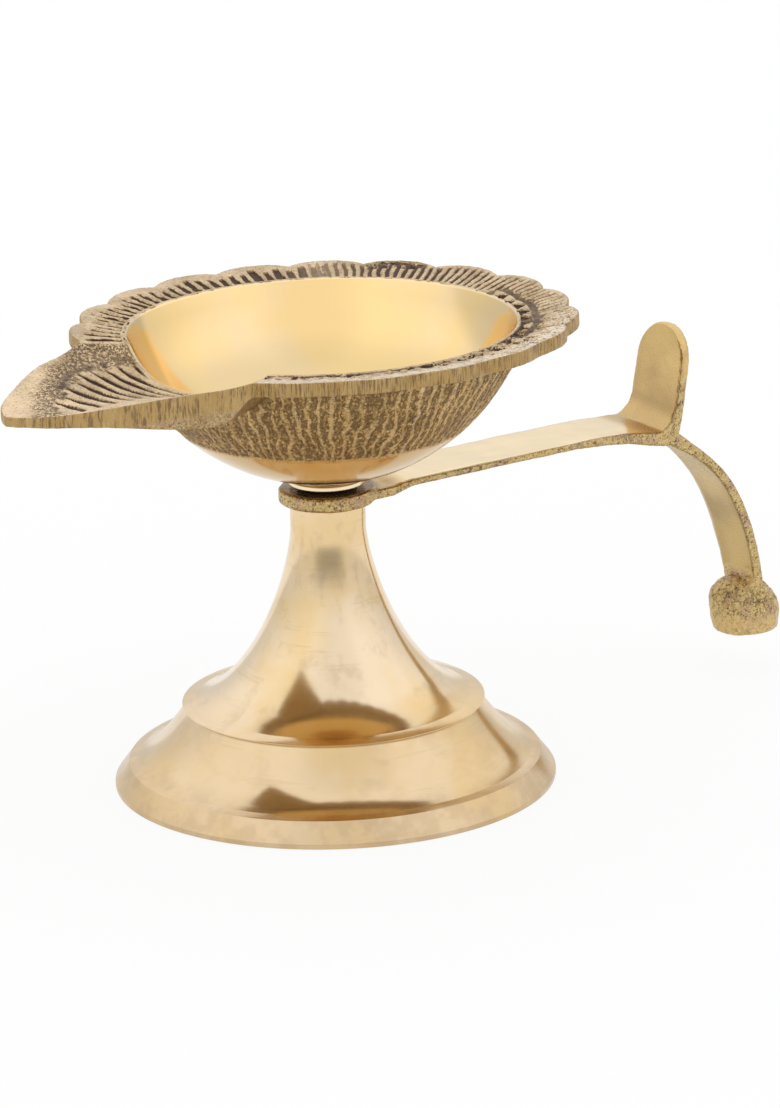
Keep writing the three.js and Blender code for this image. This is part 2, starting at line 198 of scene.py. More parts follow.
class BowlSizes(bpy.types.PropertyGroup):
    """Sizes of the bowl, its rim and its spout"""

    well_edge_radius: length("Well edge radius", "Radius of the well's mouth", 30.4)
    well_cap_depth: length("Well depth", "From the well's edge to the bottom of its sphere", 22)
    floor_wall: length("Floor wall", "Metal between the stud's bore and the well", 1.5)
    bore_spare: length("Bore spare", "Room over the top of the stud", 0.4)
    bowl_wall: length("Bowl wall", "Thickness of the bowl's wall", 2.6)
    foot_radius: length("Foot radius", "Radius of the bowl's foot", 5.2)
    foot_height: length("Foot height", "Height of the bowl's foot", 0.4)
    rim_width: length("Rim width", "From the well's edge to the notches between petals", 7.8)
    rim_stretch: length("Rim stretch", "How much further the petals reach on the stretched side", 0.3)
    stretch_side: angle("Stretched side", "The side on which the petals reach further", -60)
    lean: share("Lean", "Rise of the rim on its raised side, for each length outwards", 0.012)
    raised_side: angle("Raised side", "The side on which the rim lies higher", -87)
    cup: length("Cup", "How much the petals curl up on the raised side", 0.3)
    spout_droop: length("Spout droop", "How far the spout's tip hangs down", 1.4)
    droop_start: length("Droop start", "Where the spout starts to hang down", 42)
    droop_length: length("Droop length", "Length over which the spout hangs down", 22)
    petal_bulge: length("Petal bulge", "How far a petal swells past its notches", 1.35)
    petal_rise: length("Petal rise", "How much higher a petal's edge lies than the well's edge", 0.85)
    petal_groove: length("Petal groove", "Depth of the notches between petals", 0.35)
    petal_count: count("Petals", "Number of petals", 16)
    petal_spread: share("Petal spread", "How much the petals differ from each other", 0.14)
    rim_edge_depth: length("Rim edge depth", "Height of the rim's side face", 2.2)
    rim_underside: length("Rim underside", "From the well's edge down to the rim's root", 3)
    spout_angle: angle("Spout angle", "Part of the rim that the spout takes up", 64)
    spout_reach: length("Spout reach", "From the bowl's axis to the spout's tip", 64)
    spout_dip: length("Spout dip", "Depth of the trough at the well's edge", 4.8)
    spout_tip_depth: length("Spout tip depth", "Height of the spout's side at its tip", 1.5)
    spout_side_depth: length("Spout side depth", "Height of the spout's side at its root", 5.45)
    side_full: share("Side full", "How far towards the spout's root its side has its full height", 0.75)
    shell_draw: length("Shell draw", "How far the shell draws in under the rim", 0.5)
    filed_height: length("Filed height", "Height of the filed part of the rim's side", 3.4)
    trough_ramp: share("Trough ramp", "Above 1 the trough flattens towards its upper end", 1.3, 4)
    dip_ramp: share("Dip ramp", "Steepness of the well's edge at the spout's corners", 4, 8)
    side_ramp: share("Side ramp", "How fast the spout's side gets thinner", 1.3, 4)
    corner: length("Corner", "Rounding of the rim's edges", 0.3)


class CarvingSizes(bpy.types.PropertyGroup):
    """Sizes of the carving on the rim, in the spout and on the outside of the bowl"""

    tooth_count: count("Rim cuts", "Cuts on the petals, counted round the rim", 88)
    tooth_depth: length("Rim cut depth", "Depth of the cuts on the petals", 0.55)
    tooth_end: share("Rim cut end", "Where the cuts end, as a share of the rim's width", 0.74)
    fine_count: count("Fine cuts", "Fine cuts of the far petals, counted round the rim", 122)
    cut_slant: share("Cut slant", "How far the cuts slant along the rim, in radians", 0.1)
    zigzag_count: count("Zigzag", "Points of the zigzag, counted round the rim", 45)
    vein_pitch: length("Vein pitch", "From one vein of the spout to the next", 3.1)
    vein_depth: length("Vein depth", "Depth of the cuts between the veins", 0.6)
    grain_size: length("Grain size", "Size of the stippled grains", 0.6)
    grain_depth: length("Grain depth", "Depth of the pits between the grains", 0.28)
    rib_count: count("Ribs", "Ribs round the outside of the bowl", 96)
    rib_depth: length("Rib depth", "Depth of the cuts between the ribs", 0.26)
    band_bottom: length("Band bottom", "Height of the lower edge of the ribbed band", 58.4)


class HandleSizes(bpy.types.PropertyGroup):
    """Sizes of the cast handle"""

    turn: angle("Turn", "Turn of the handle from the line opposite the spout", -7.3)
    eye_radius: length("Eye radius", "Radius of the eye round the stud", 7.6)
    bore_radius: length("Bore radius", "Radius of the hole in the eye", 2.8)
    bar_width: length("Bar width", "Width of the bar", 11.9)
    bar_thickness: length("Bar thickness", "Thickness of the bar", 1.2)
    bar_top_drop: length("Bar drop", "How far the bar's top lies below the eye's top", 0.5)
    bar_root: length("Bar root", "Length over which the bar thins out from the eye", 5)
    bar_swell: length("Bar swell", "Extra thickness under the thumb rest", 1.4)
    bar_swell_length: length("Bar swell length", "Length of that extra thickness", 20)
    bar_rise: length("Bar rise", "How much higher the bar lies at the eye than at the thumb rest", 0.5)
    bar_sag: length("Bar sag", "How far the bar bends down at the thumb rest", 1.1)
    bar_sag_start: length("Sag start", "Where the bar starts to bend down", 52)
    bar_twist: share("Bar twist", "How much more the near edge sags than the middle", 0.45)
    thumb_reach: length("Thumb reach", "From the stand's axis to the thumb rest", 65.6)
    thumb_width: length("Thumb width", "Width of the thumb rest", 11.8)
    thumb_thickness: length("Thumb thickness", "Thickness of the thumb rest", 1.7)
    thumb_height: length("Thumb height", "Height of the thumb rest above the bar", 14.9)
    thumb_lean: angle("Thumb lean", "Lean of the thumb rest outwards", 12)
    thumb_fillet: length("Thumb fillet", "Extra thickness where the thumb rest leaves the bar", 2.6)
    thumb_fillet_height: length("Thumb fillet height", "Height of that extra thickness", 3.6)
    thumb_root_depth: length("Thumb root depth", "How far the thumb rest reaches into the bar", 1.3)
    tail_reach: length("Tail reach", "From the thumb rest out to the middle of the foot", 18.6)
    tail_width: length("Tail width", "Width of the tail", 7)
    tail_thickness: length("Tail thickness", "Thickness of the tail", 1.8)
    tail_root: length("Tail root", "Extra thickness at the tail's upper end", 0.9)
    tail_end: length("Tail end", "Extra thickness where the tail runs into the foot", 0.2)
    tail_flank: length("Tail flank", "Extra width of the tail's far side, halfway down", 3.4)
    foot_radius: length("Foot radius", "Radius of the button foot", 5.8)
    foot_face_radius: length("Foot face radius", "Radius of the button foot's face", 5.45)
    foot_waist: length("Foot waist", "Height of the foot's widest ring above its face", 3)
    foot_height: length("Foot height", "Height of the button foot", 8.8)
    foot_shift: length("Foot shift", "How far the foot's top lies off its middle", 1.0)
    grain: length("Casting grain", "Spacing of the casting's surface points", 0.3)
    pit_depth: length("Pit depth", "Depth of the pits on the rough faces", 0.3)


class FastenerSizes(bpy.types.PropertyGroup):
    """Sizes of the stud, the nut and the washers"""

    thread_pitch: length("Thread pitch", "Rise of the thread in one turn", 0.8)
    thread_depth: length("Thread depth", "Depth of the thread", 0.43)
    stud_point: length("Stud point", "Chamfer at the stud's ends", 0.5)
    lock_teeth: count("Lock teeth", "Teeth of the lock washer", 8)
    lock_tooth: length("Lock tooth", "Depth of the lock washer's teeth", 0.5)
    lock_bevel: length("Lock washer bevel", "Bevel of the lock washer's edges", 0.08)
    collar_bevel: length("Collar bevel", "Bevel of the bright collar", 0.2)
    washer_bevel: length("Washer bevel", "Bevel of the flat washer", 0.15)
    nut_face: length("Nut face", "From the nut's flats in to its round face", 0.3)
    nut_cone_width: length("Nut cone width", "Width of the cone that turns off the nut's corners", 1.6)
    nut_cone_height: length("Nut cone height", "Height of that cone", 0.75)


class BrassColours(bpy.types.PropertyGroup):
    """Colours and gloss of the finishes"""

    polished: colour("Polished brass", "Colour of the turned stand", 0.87, 0.70, 0.49)
    golden: colour("Golden brass", "Colour of the stand's golden clouds", 0.84, 0.62, 0.33)
    # Besides the turning smears, this colour is also painted shade low on the stand
    smear_and_low_shade: colour("Smeared brass", "Colour of the smears left by the turning", 0.55, 0.40, 0.24)
    satin: colour("Satin brass", "Colour of the well", 0.93, 0.71, 0.42)
    well_gold: colour("Well gold", "Colour of the well's golden clouds", 0.98, 0.71, 0.33)
    # Darkened as painted shade under the bowl
    shaded_under_gold: colour("Under gold", "Colour of the polished brass under the bowl", 0.64, 0.42, 0.165)
    cast: colour("Cast brass", "Colour of the handle", 0.75, 0.53, 0.22)
    cast_dull: colour("Dull casting", "Colour of the handle's duller clouds", 0.58, 0.4, 0.18)
    bright: colour("Bright brass", "Colour of the collar", 0.93, 0.80, 0.56)
    # Painted highlight on the top of the bar
    buffed: colour("Buffed brass", "Colour of the top of the bar", 0.95, 0.76, 0.47)
    # Painted shade on the tail's inner face
    flank: colour("Tail flank", "Colour of the tail's far flank", 0.36, 0.26, 0.115)
    raised: colour("Raised carving", "Colour of the ridges of the carving", 0.76, 0.58, 0.37)
    spout_pale: colour("Pale spout", "Colour of the spout's smooth border", 0.93, 0.71, 0.46)
    cast_skin: colour("Casting skin", "Colour of the unpolished casting", 0.55, 0.4, 0.23)
    warm_skin: colour("Warm skin", "Colour of the casting outside the bowl", 0.64, 0.42, 0.16)
    # Also used as painted shade on the rim's underside and the lower part of its side
    dull_cast_and_shade: colour("Warm hollows", "Colour of the bowl's duller outer casting", 0.42, 0.26, 0.09)
    skin_pits: colour("Skin pits", "Colour of the fine pits of the casting", 0.15, 0.09, 0.045)
    filed: colour("Filed sides", "Colour of the filed side faces", 0.5, 0.325, 0.125)
    smeared_dark: colour("Dark stains", "Colour of the stains on the rough casting", 0.24, 0.16, 0.10)
    edge_gold: colour("Golden edges", "Colour of the filed metal of the edges", 0.68, 0.50, 0.21)
    # Painted shade inside the well
    well_shade: colour("Well shade", "Colour of the tarnish inside the well", 0.58, 0.45, 0.22)
    # Painted shade: darkens the stand from the cone's foot down
    low_painted_shade: colour("Low gold", "Colour of the tarnish low on the stand", 0.68, 0.48, 0.25)
    edge_pink: colour("Pinkish edges", "Colour of the copper-rich casting skin", 0.55, 0.37, 0.22)
    edge_bright: colour("Bright grains", "Colour of the grains that catch the light", 0.85, 0.70, 0.44)
    worn: colour("Worn edges", "Colour of the edges worn bright", 0.90, 0.80, 0.68)
    antique: colour("Antiquing", "Colour of the dark lacquer in the cuts", 0.085, 0.047, 0.034)
    steel: colour("Plated steel", "Colour of the stud, the nut and the flat washer", 0.55, 0.55, 0.53)
    # Near black: painted shade for the gap under the collar
    dark_steel: colour("Dark steel", "Colour of the lock washer", 0.045, 0.040, 0.035)
    steel_blotch: colour("Steel blotches", "Tint of the blotches on the steel", 0.72, 0.70, 0.66)


class StageSettings(bpy.types.PropertyGroup):
    """The camera, the floor and the light"""

    camera_place: bpy.props.FloatVectorProperty(
        name="Camera place", description="Where the camera stands",
        default=(-0.5943, -0.6394, 0.2988), size=3, unit="LENGTH", subtype="TRANSLATION")
    camera_heading: angle("Heading", "Turn of the camera about the upright", -42.937)
    camera_pitch: angle("Pitch", "How far the camera looks down", 16.88)
    camera_roll: angle("Roll", "Roll of the camera", -1.6)
    lens: bpy.props.FloatProperty(
        name="Lens", description="Focal length in millimetres, for a picture 36 mm high", default=186.65)
    floor_size: length("Floor size", "Width of the floor", 3000)
    floor_colour: colour("Floor colour", "Colour of the floor", 0.82, 0.82, 0.82)


class Field:
    """A socket of a node tree, on which Python's operators do the sums"""

    def __init__(self, graph, socket):
        self.graph = graph
        self.socket = socket

    def other(self, name):
        return Field(self.graph, self.socket.node.outputs[name])

    def __add__(self, value):
        return self.graph.sum("ADD", self, value)

    def __radd__(self, value):
        return self.graph.sum("ADD", value, self)

    def __sub__(self, value):
        return self.graph.sum("SUBTRACT", self, value)

    def __rsub__(self, value):
        return self.graph.sum("SUBTRACT", value, self)

    def __mul__(self, value):
        return self.graph.sum("MULTIPLY", self, value)

    def __rmul__(self, value):
        return self.graph.sum("MULTIPLY", value, self)

    def __truediv__(self, value):
        return self.graph.sum("DIVIDE", self, value)

    def __rtruediv__(self, value):
        return self.graph.sum("DIVIDE", value, self)

    def __pow__(self, value):
        return self.graph.sum("POWER", self, value)

    def __neg__(self):
        return self.graph.sum("MULTIPLY", self, -1.0)

    def __abs__(self):
        return self.graph.sum("ABSOLUTE", self)

    def swing(self):
        """1 at every whole number and 0 halfway between two of them"""
        return abs(self.graph.sum("FRACT", self) - 0.5) * 2.0

    def towards(self, side):
        """1 where an angle is that of a side, and -1 opposite it"""
        return self.graph.sum("COSINE", self - side)

    def least(self, value):
        return self.graph.sum("MINIMUM", self, value)

    def most(self, value):
        return self.graph.sum("MAXIMUM", self, value)

    def ramp(self, start, end):
        """From 0 at start to 1 at end, with soft ends; start may be the larger one"""
        settings = {"interpolation_type": "SMOOTHSTEP"}
        return self.graph.make("ShaderNodeMapRange", settings, {"Value": self, 1: start, 2: end})

    def ramp_mm(self, start, end):
        """The same for a length, with its start and its end in millimetres"""
        return self.ramp(start * MM, end * MM)


class Graph:
    """Adds nodes to one node tree, of a material, the world or a Geometry Nodes tree"""

    def __init__(self, tree):
        self.tree = tree

    def feed(self, socket, value):
        if isinstance(value, Field):
            self.tree.links.new(value.socket, socket)
        elif socket.type == "RGBA":
            socket.default_value = (*value, 1.0)
        else:
            socket.default_value = value

    def make(self, kind, settings=None, sockets=None, output=0):
        """A new node: its settings are set first, then the values or links of its sockets. A socket that
        is None keeps its own value."""
        node = self.tree.nodes.new(kind)
        for name, value in (settings or {}).items():
            setattr(node, name, value)
        for key, value in (sockets or {}).items():
            if value is not None:
                self.feed(node.inputs[key], value)
        return Field(self, node.outputs[output]) if len(node.outputs) else node

    def sum(self, operation, *values):
        return self.make("ShaderNodeMath", {"operation": operation}, dict(enumerate(values)))

    def blend(self, factor, first, second):
        """A mix of two colours"""
        sockets = {0: factor, 6: first, 7: second}
        return self.make("ShaderNodeMix", {"data_type": "RGBA"}, sockets, 2)

    def layers(self, base, *others):
        """A colour with others laid over it in turn, each a share and a colour"""
        for part, other in others:
            base = self.blend(part, base, other)
        return base

    def tint(self, factor, first, second):
        """The first colour multiplied by the second one, as far as the factor says"""
        settings = {"data_type": "RGBA", "blend_type": "MULTIPLY"}
        return self.make("ShaderNodeMix", settings, {0: factor, 6: first, 7: second}, 2)

    def vector(self, x, y, z):
        return self.make("ShaderNodeCombineXYZ", None, {0: x, 1: y, 2: z})

    def parts(self, vector):
        """The three numbers of a vector"""
        x = self.make("ShaderNodeSeparateXYZ", None, {0: vector})
        return x, x.other("Y"), x.other("Z")

    def noise(self, vector, scale, detail=2.0, roughness=0.5):
        sockets = {"Vector": vector, "Scale": scale, "Detail": detail, "Roughness": roughness}
        return self.make("ShaderNodeTexNoise", None, sockets)

    def grains(self, vector, scale):
        """Distance to the nearest of a field of scattered grains, in grain sizes"""
        return self.make("ShaderNodeTexVoronoi", {"feature": "F1"}, {"Vector": vector, "Scale": scale})

    def chance(self, turn):
        """A random number from 0 to 1, the same between one whole number and the next"""
        settings = {"noise_dimensions": "1D"}
        return self.make("ShaderNodeTexWhiteNoise", settings, {"W": self.sum("FLOOR", turn)})

    def coordinates(self, kind="Object"):
        return self.make("ShaderNodeTexCoord", None, None, kind)

    def attribute(self, name):
        """A number that is stored on the surface"""
        return self.make("ShaderNodeAttribute", {"attribute_name": name}, None, 2)


class GeometryGraph(Graph):
    """A Geometry Nodes tree that changes one piece: its named inputs are numbers, and it ends by
    turning its instances real and giving the piece its material"""

    def __init__(self, name, inputs):
        tree = bpy.data.node_groups.new(name, "GeometryNodeTree")
        tree.interface.new_socket("Geometry", in_out="INPUT", socket_type="NodeSocketGeometry")
        for label in inputs:
            tree.interface.new_socket(label, in_out="INPUT", socket_type="NodeSocketFloat")
        tree.interface.new_socket("Finish", in_out="INPUT", socket_type="NodeSocketMaterial")
        tree.interface.new_socket("Geometry", in_out="OUTPUT", socket_type="NodeSocketGeometry")
        super().__init__(tree)
        self.source = self.make("NodeGroupInput")
        self.position = self.make("GeometryNodeInputPosition")

    def size(self, label):
        return self.source.other(label)

    def attribute(self, name):
        """A number that the mesh brings with it"""
        settings = {"data_type": "FLOAT"}
        return self.make("GeometryNodeInputNamedAttribute", settings, {"Name": name})

    def store(self, **numbers):
        """The piece as it comes in, with numbers stored at its points"""
        settings = {"data_type": "FLOAT", "domain": "POINT"}
        geometry = self.source
        for name, value in numbers.items():
            sockets = {"Geometry": geometry, "Name": name, "Value": value}
            geometry = self.make("GeometryNodeStoreNamedAttribute", settings, sockets)
        return geometry

    def shift(self, geometry, offset):
        return self.make("GeometryNodeSetPosition", None, {"Geometry": geometry, "Offset": offset})

    def scaled(self, vector, factor):
        return self.make("ShaderNodeVectorMath", {"operation": "SCALE"}, {0: vector, "Scale": factor})

    def end(self, geometry):
        real = self.make("GeometryNodeRealizeInstances", None, {0: geometry})
        sockets = {"Geometry": real, "Material": self.size("Finish")}
        done = self.make("GeometryNodeSetMaterial", None, sockets)
        self.make("NodeGroupOutput", None, {0: done})

    def apply(self, piece, finish, values=None):
        """Runs the tree on a piece and keeps the result as its plain mesh"""
        modifier = piece.modifiers.new(self.tree.name, "NODES")
        modifier.node_group = self.tree
        values = {**(values or {}), "Finish": finish}
        for item in self.tree.interface.items_tree:
            if item.in_out == "INPUT" and item.name in values:
                modifier[item.identifier] = values[item.name]
        keep_shape(piece)


def keep_shape(piece):
    """Turns what the piece's modifiers make into its plain mesh"""
    bpy.context.view_layer.update()
    seen = piece.evaluated_get(bpy.context.evaluated_depsgraph_get())
    old = piece.data
    mesh = bpy.data.meshes.new_from_object(seen)
    piece.modifiers.clear()
    piece.data = mesh
    bpy.data.meshes.remove(old)


def mix(a, b, t):
    return a + (b - a) * t


def flare(t, start, end):
    """Flare of a turned profile from 0 to 1: gentle at first, then nearly flat at the end"""
    return 1 - (1 - t ** start) ** end


def smooth(t):
    """From 0 to 1 with soft ends"""
    t = np.clip(t, 0, 1)
    return t * t * (3 - 2 * t)


def new_piece(name, points, triangles, marks=None):
    """A piece from its points and triangles, with the numbers that each point carries"""
    points = np.asarray(points, np.float32)
    triangles = np.asarray(triangles, np.int32)
    mesh = bpy.data.meshes.new(name)
    mesh.vertices.add(len(points))
    mesh.vertices.foreach_set("co", points.ravel())
    mesh.loops.add(triangles.size)
    mesh.loops.foreach_set("vertex_index", triangles.ravel())
    mesh.polygons.add(len(triangles))
    mesh.polygons.foreach_set("loop_start", np.arange(0, triangles.size, 3, dtype=np.int32))
    mesh.update(calc_edges=True)
    for label, values in (marks or {}).items():
        attribute = mesh.attributes.new(label, "FLOAT", "POINT")
        attribute.data.foreach_set("value", np.asarray(values, np.float32))
    piece = bpy.data.objects.new(name, mesh)
    bpy.context.scene.collection.objects.link(piece)
    return piece


def bend(start, corner, end, t):
    """A place on a soft bend, at a share t of the way; each point is a tuple"""
    parts = zip(start, corner, end)
    return tuple((1 - t) ** 2 * a + 2 * t * (1 - t) * b + t ** 2 * c for a, b, c in parts)


def round_axis(radius, turn, height):
    """Points from their radius, their angle round the axis and their height"""
    radius, turn, height = np.broadcast_arrays(radius, turn, height)
    return np.stack([radius * np.cos(turn), radius * np.sin(turn), height], -1)


def spin(profile, steps):
    """A net of points from a profile of radius and height"""
    profile = np.asarray(profile, float)
    return round_axis(profile[:, :1], np.arange(steps) * TURN / steps, profile[:, 1:])


def numbers_of(net, start=0):
    """The numbers of a net's points, by row and column"""
    rows, columns = net.shape[:2]
    return start + np.arange(rows * columns).reshape(rows, columns)


def net_faces(numbers, round_rows=False, round_columns=True):
    """Triangles of a net, which may be closed round its rows and round its columns"""
    numbers = np.pad(numbers, ((0, int(round_rows)), (0, int(round_columns))), "wrap")
    a, b, c, d = numbers[:-1, :-1], numbers[:-1, 1:], numbers[1:, 1:], numbers[1:, :-1]
    halves = (np.stack([a, b, c], -1), np.stack([a, c, d], -1))
    return np.concatenate([half.reshape(-1, 3) for half in halves])


def fan_faces(middle, loop, flip=False):
    """Triangles from one middle point to a closed row"""
    after = np.roll(loop, -1)
    ends = (after, loop) if flip else (loop, after)
    return np.stack([np.full(len(loop), middle), *ends], -1)


def capped(net, start, end):
    """Points and triangles of a net that is closed by a middle point at each of its ends"""
    numbers = numbers_of(net)
    faces = [net_faces(numbers), fan_faces(numbers.size, numbers[0], True),
             fan_faces(numbers.size + 1, numbers[-1])]
    return np.concatenate([net.reshape(-1, 3), [start, end]]), np.concatenate(faces)


def ring_piece(name, net):
    """A piece from a net whose last row joins its first"""
    return new_piece(name, net.reshape(-1, 3), net_faces(numbers_of(net), round_rows=True))


def turned(name, profile, steps):
    """A lathe-turned piece, from a closed profile of radius and height that goes round its metal with
    the metal on its left"""
    return ring_piece(name, spin(profile, steps))


def flat_ring(name, low, high, hole, bevel, steps):
    """A turned ring with broken edges, as wide and as high as a box of the frame"""
    radius = (high.x - low.x) / 2
    outline = [(hole, low.z), (radius, low.z), (radius, high.z), (hole, high.z)]
    return turned(name, round_corners(outline, bevel), steps)


def round_corners(points, radius, steps=3):
    """A closed outline with its corners of more than about 12 degrees rounded"""
    points = [Vector(p) for p in points]
    out = []
    for i, corner in enumerate(points):
        before, after = points[i - 1], points[(i + 1) % len(points)]
        back, ahead = before - corner, after - corner
        bend = math.pi - back.angle(ahead)
        if bend < 0.2:
            out.append(corner)
            continue
        cut = min(radius * math.tan(bend / 2), back.length * 0.45, ahead.length * 0.45)
        start, end = corner + back.normalized() * cut, corner + ahead.normalized() * cut
        for k in range(steps + 1):
            t = k / steps
            out.append(start.lerp(corner, t).lerp(corner.lerp(end, t), t))
    return [tuple(p) for p in out]


def finish_piece(piece, body, nodes=(), sharp=None):
    """Shades a piece smooth, sets it on the lamp's axis, and ties it to its body"""
    piece.data.transform(AXIS)
    piece.data.shade_smooth()
    if sharp is not None:
        piece.data.set_sharp_from_angle(angle=math.radians(sharp))
    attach(piece, body)
    if nodes:
        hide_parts(*nodes)
    return piece


def new_material(name):
    """An empty material and its graph"""
    material = bpy.data.materials.new(name)
    material.use_nodes = True
    material.node_tree.nodes.clear()
    return material, Graph(material.node_tree)


def set_shader(graph, base, roughness, metallic=1.0, normal=None):
    """Ends a metal's graph in its shader"""
    sockets = {"Base Color": base, "Roughness": roughness, "Metallic": metallic, "Normal": normal}
    shader = graph.make("ShaderNodeBsdfPrincipled", None, sockets)
    graph.make("ShaderNodeOutputMaterial", None, {"Surface": shader})


def bump(graph, height, distance, strength=1.0, normal=None):
    sockets = {"Height": height, "Distance": distance, "Strength": strength, "Normal": normal}
    return graph.make("ShaderNodeBump", None, sockets)


def axis_coordinates(graph):
    """Object coordinates from the lamp's axis: the point, its radius, its angle and its height"""
    place = graph.coordinates()
    moved = graph.make("ShaderNodeMapping", {"vector_type": "POINT"}, {
        "Vector": place, "Location": (-AXIS_X, 0.0, 0.0)})
    x, y, z = graph.parts(moved)
    radius = graph.sum("SQRT", x * x + y * y)
    return moved, radius, graph.sum("ARCTAN2", y, x), z


def polished_brass(colours):
    """Turned and polished brass: fine rings from the lathe, clouds of pale and golden discolouring, and a
    few brown smears that follow the turning. From the cone's foot down the colour is darkened as painted
    shade, most of all at the lip, with blotches there."""
    material, graph = new_material("polished_brass")
    place, radius, around, height = axis_coordinates(graph)
    turned_way = graph.vector(height + radius * 0.5, around * 0.0006, 0.0)
    rings = graph.noise(turned_way, 5200.0, 3.0, 0.65)
    bands = graph.noise(turned_way, 900.0, 2.0, 0.6)
    clouds = graph.noise(place, 55.0, 3.0, 0.55)
    smears = graph.noise(graph.vector(around * 1.4, height * 90.0, radius * 60.0), 2.4, 3.0, 0.6)
    blots = graph.noise(place, 190.0, 3.0, 0.6)
    # Painted shade low on the stand: the band under the cone's foot and, darker still, the lip, a painted
    # darker reflection
    low = height.ramp_mm(6.5, 3.5)
    base = graph.layers(
        colours.polished,
        (clouds.ramp(0.38, 0.62), colours.golden),
        (smears.ramp(0.5, 0.72) * 0.35, colours.smear_and_low_shade),
        ((bands * 0.6 + rings * 0.4).ramp(0.54, 0.68) * 0.28, colours.smear_and_low_shade),
        (height.ramp_mm(18, 11) * 0.45, colours.low_painted_shade),
        (blots.ramp(0.44, 0.6) * (0.03 + low * 0.3) + low * 0.22, colours.smear_and_low_shade))
    roughness = 0.09 + rings * 0.06 + clouds.ramp(0.35, 0.7) * 0.07 + low * 0.08
    set_shader(graph, base, roughness, normal=bump(graph, rings + bands * 0.6, 0.007 * MM, 0.3))
    return material


def bright_brass(colours):
    """The bright collar: freshly turned brass"""
    material, graph = new_material("bright_brass")
    _, radius, around, height = axis_coordinates(graph)
    rings = graph.noise(graph.vector(height + radius, around * 0.0004, 0.0), 7000.0, 2.0, 0.6)
    set_shader(graph, colours.bright, 0.16 + rings * 0.1, normal=bump(graph, rings, 0.008 * MM, 0.4))
    return material


def brass_with_lacquer(graph, colours, faces, cut, worn, side, under, painted_shade):
    """Ends a material of carved brass: its smooth, rough and filed faces, dark lacquer in its cuts and
    bright worn edges, with painted shade on the smooth face, towards the well shade colour, and on the
    undersides. Faces holds the colours of the smooth face, the casting's skin and its hollows."""
    satin, gold, skin, hollow = faces
    place, radius, around, height = axis_coordinates(graph)
    rough = graph.attribute("rough")
    speck = graph.noise(place, 3300.0, 2.0, 0.6)
    sand = graph.noise(place, 1500.0, 3.0, 0.7)
    patch = graph.noise(place, 230.0, 3.0, 0.6)
    wide = graph.noise(place, 45.0, 2.0, 0.5)
    rings = graph.noise(graph.vector(height + radius * 0.7, around * 0.0006, 0.0), 4200.0, 3.0, 0.65)
    filed_way = graph.vector(around * 0.034, height * 0.06, radius * 0.05)
    file_marks = graph.noise(filed_way, 3600.0, 3.0, 0.75)
    file_bands = graph.noise(filed_way, 520.0, 2.0, 0.6)
    fine = speck * 0.55 + sand * 0.45

    # The smooth face is darkened towards the well shade colour: painted shade
    smooth_face = graph.layers(satin, (wide.ramp(0.40, 0.60), gold), (painted_shade, colours.well_shade))
    cast_face = graph.layers(
        skin,
        (patch.ramp(0.35, 0.65), hollow),
        (fine.ramp(0.52, 0.64) * 0.75, colours.skin_pits),
        (fine.ramp(0.47, 0.35) * 0.65, colours.edge_bright))
    filed = graph.layers(
        colours.filed,
        (file_bands.ramp(0.4, 0.62) * 0.6, colours.cast_dull),
        (file_marks.ramp(0.48, 0.62) * 0.75, colours.skin_pits),
        (file_marks.ramp(0.44, 0.32) * 0.45, colours.edge_gold))
    depth = cut + (fine - 0.5) * 0.6 * rough * cut.ramp(0.02, 0.3)
    base = graph.layers(
        smooth_face,
        (rough, cast_face),
        (side * 0.95, filed),
        # The rim's underside and the unfiled lower part of its side: rough casting, darkened further as
        # painted shade
        (under * 0.85, colours.dull_cast_and_shade),
        (under * fine.ramp(0.44, 0.56) * 0.7, colours.skin_pits),
        (depth.ramp(0.12, 0.5) * 0.75, colours.skin_pits),
        (depth.ramp(0.5, 0.85), colours.antique),
        (worn * fine.ramp(0.62, 0.45), colours.worn))

    roughness = 0.09 + rings * 0.08 + rough * 0.28 + depth.ramp(0.3, 0.8) * 0.15 - worn * 0.1
    metallic = 1.0 - depth.ramp(0.5, 1.0) * 0.2
    soft = bump(graph, rings * (1.0 - rough), 0.008 * MM, 0.4)
    grit = (sand * 0.7 + speck) * (rough + 0.02) + file_marks * side - cut * 0.8
    set_shader(graph, base, roughness, metallic, bump(graph, grit, 0.2 * MM, 0.9, soft))


def carved_brass(colours, cuts):
    """The well, the rim and the spout"""
    material, graph = new_material("carved_brass")
    place, _, _, height = axis_coordinates(graph)
    x, y, _ = graph.parts(place)
    teeth, veins, stipple, worn = rim_cuts(graph, place, cuts)
    # Painted shade in the well: darker on its left, on its right and low down
    left = x.ramp_mm(-12.5, -15)
    right = (x * 0.9 - y * 0.43).ramp_mm(25.2, 27.5)
    low = height.ramp_mm(67, 61)
    painted_shade = (left * 0.75).most(right * 0.45).most(low * 0.45)
    on_spout = x.ramp_mm(*SPOUT_FINISH)
    faces = (colours.satin, colours.well_gold, graph.blend(on_spout, colours.raised, colours.spout_pale),
             graph.blend(on_spout, colours.cast_skin, colours.raised))
    brass_with_lacquer(graph, colours, faces, teeth.most(veins).most(stipple), worn,
                       graph.attribute("side"), graph.attribute("under"), painted_shade)
    return material


def ribbed_brass(colours, cuts):
    """The outside of the bowl: polished below in a brass darkened as painted shade, ribbed and stippled
    above
    """
    material, graph = new_material("ribbed_brass")
    place, *_ = axis_coordinates(graph)
    cut, _, ridge = shell_cuts(graph, place, cuts)
    faces = (colours.shaded_under_gold, colours.shaded_under_gold, colours.warm_skin, colours.dull_cast_and_shade)
    brass_with_lacquer(graph, colours, faces, (cut - 0.32).most(0.0) * 0.78, ridge * 0.2, 0.0, 0.0, 0.0)
    return material


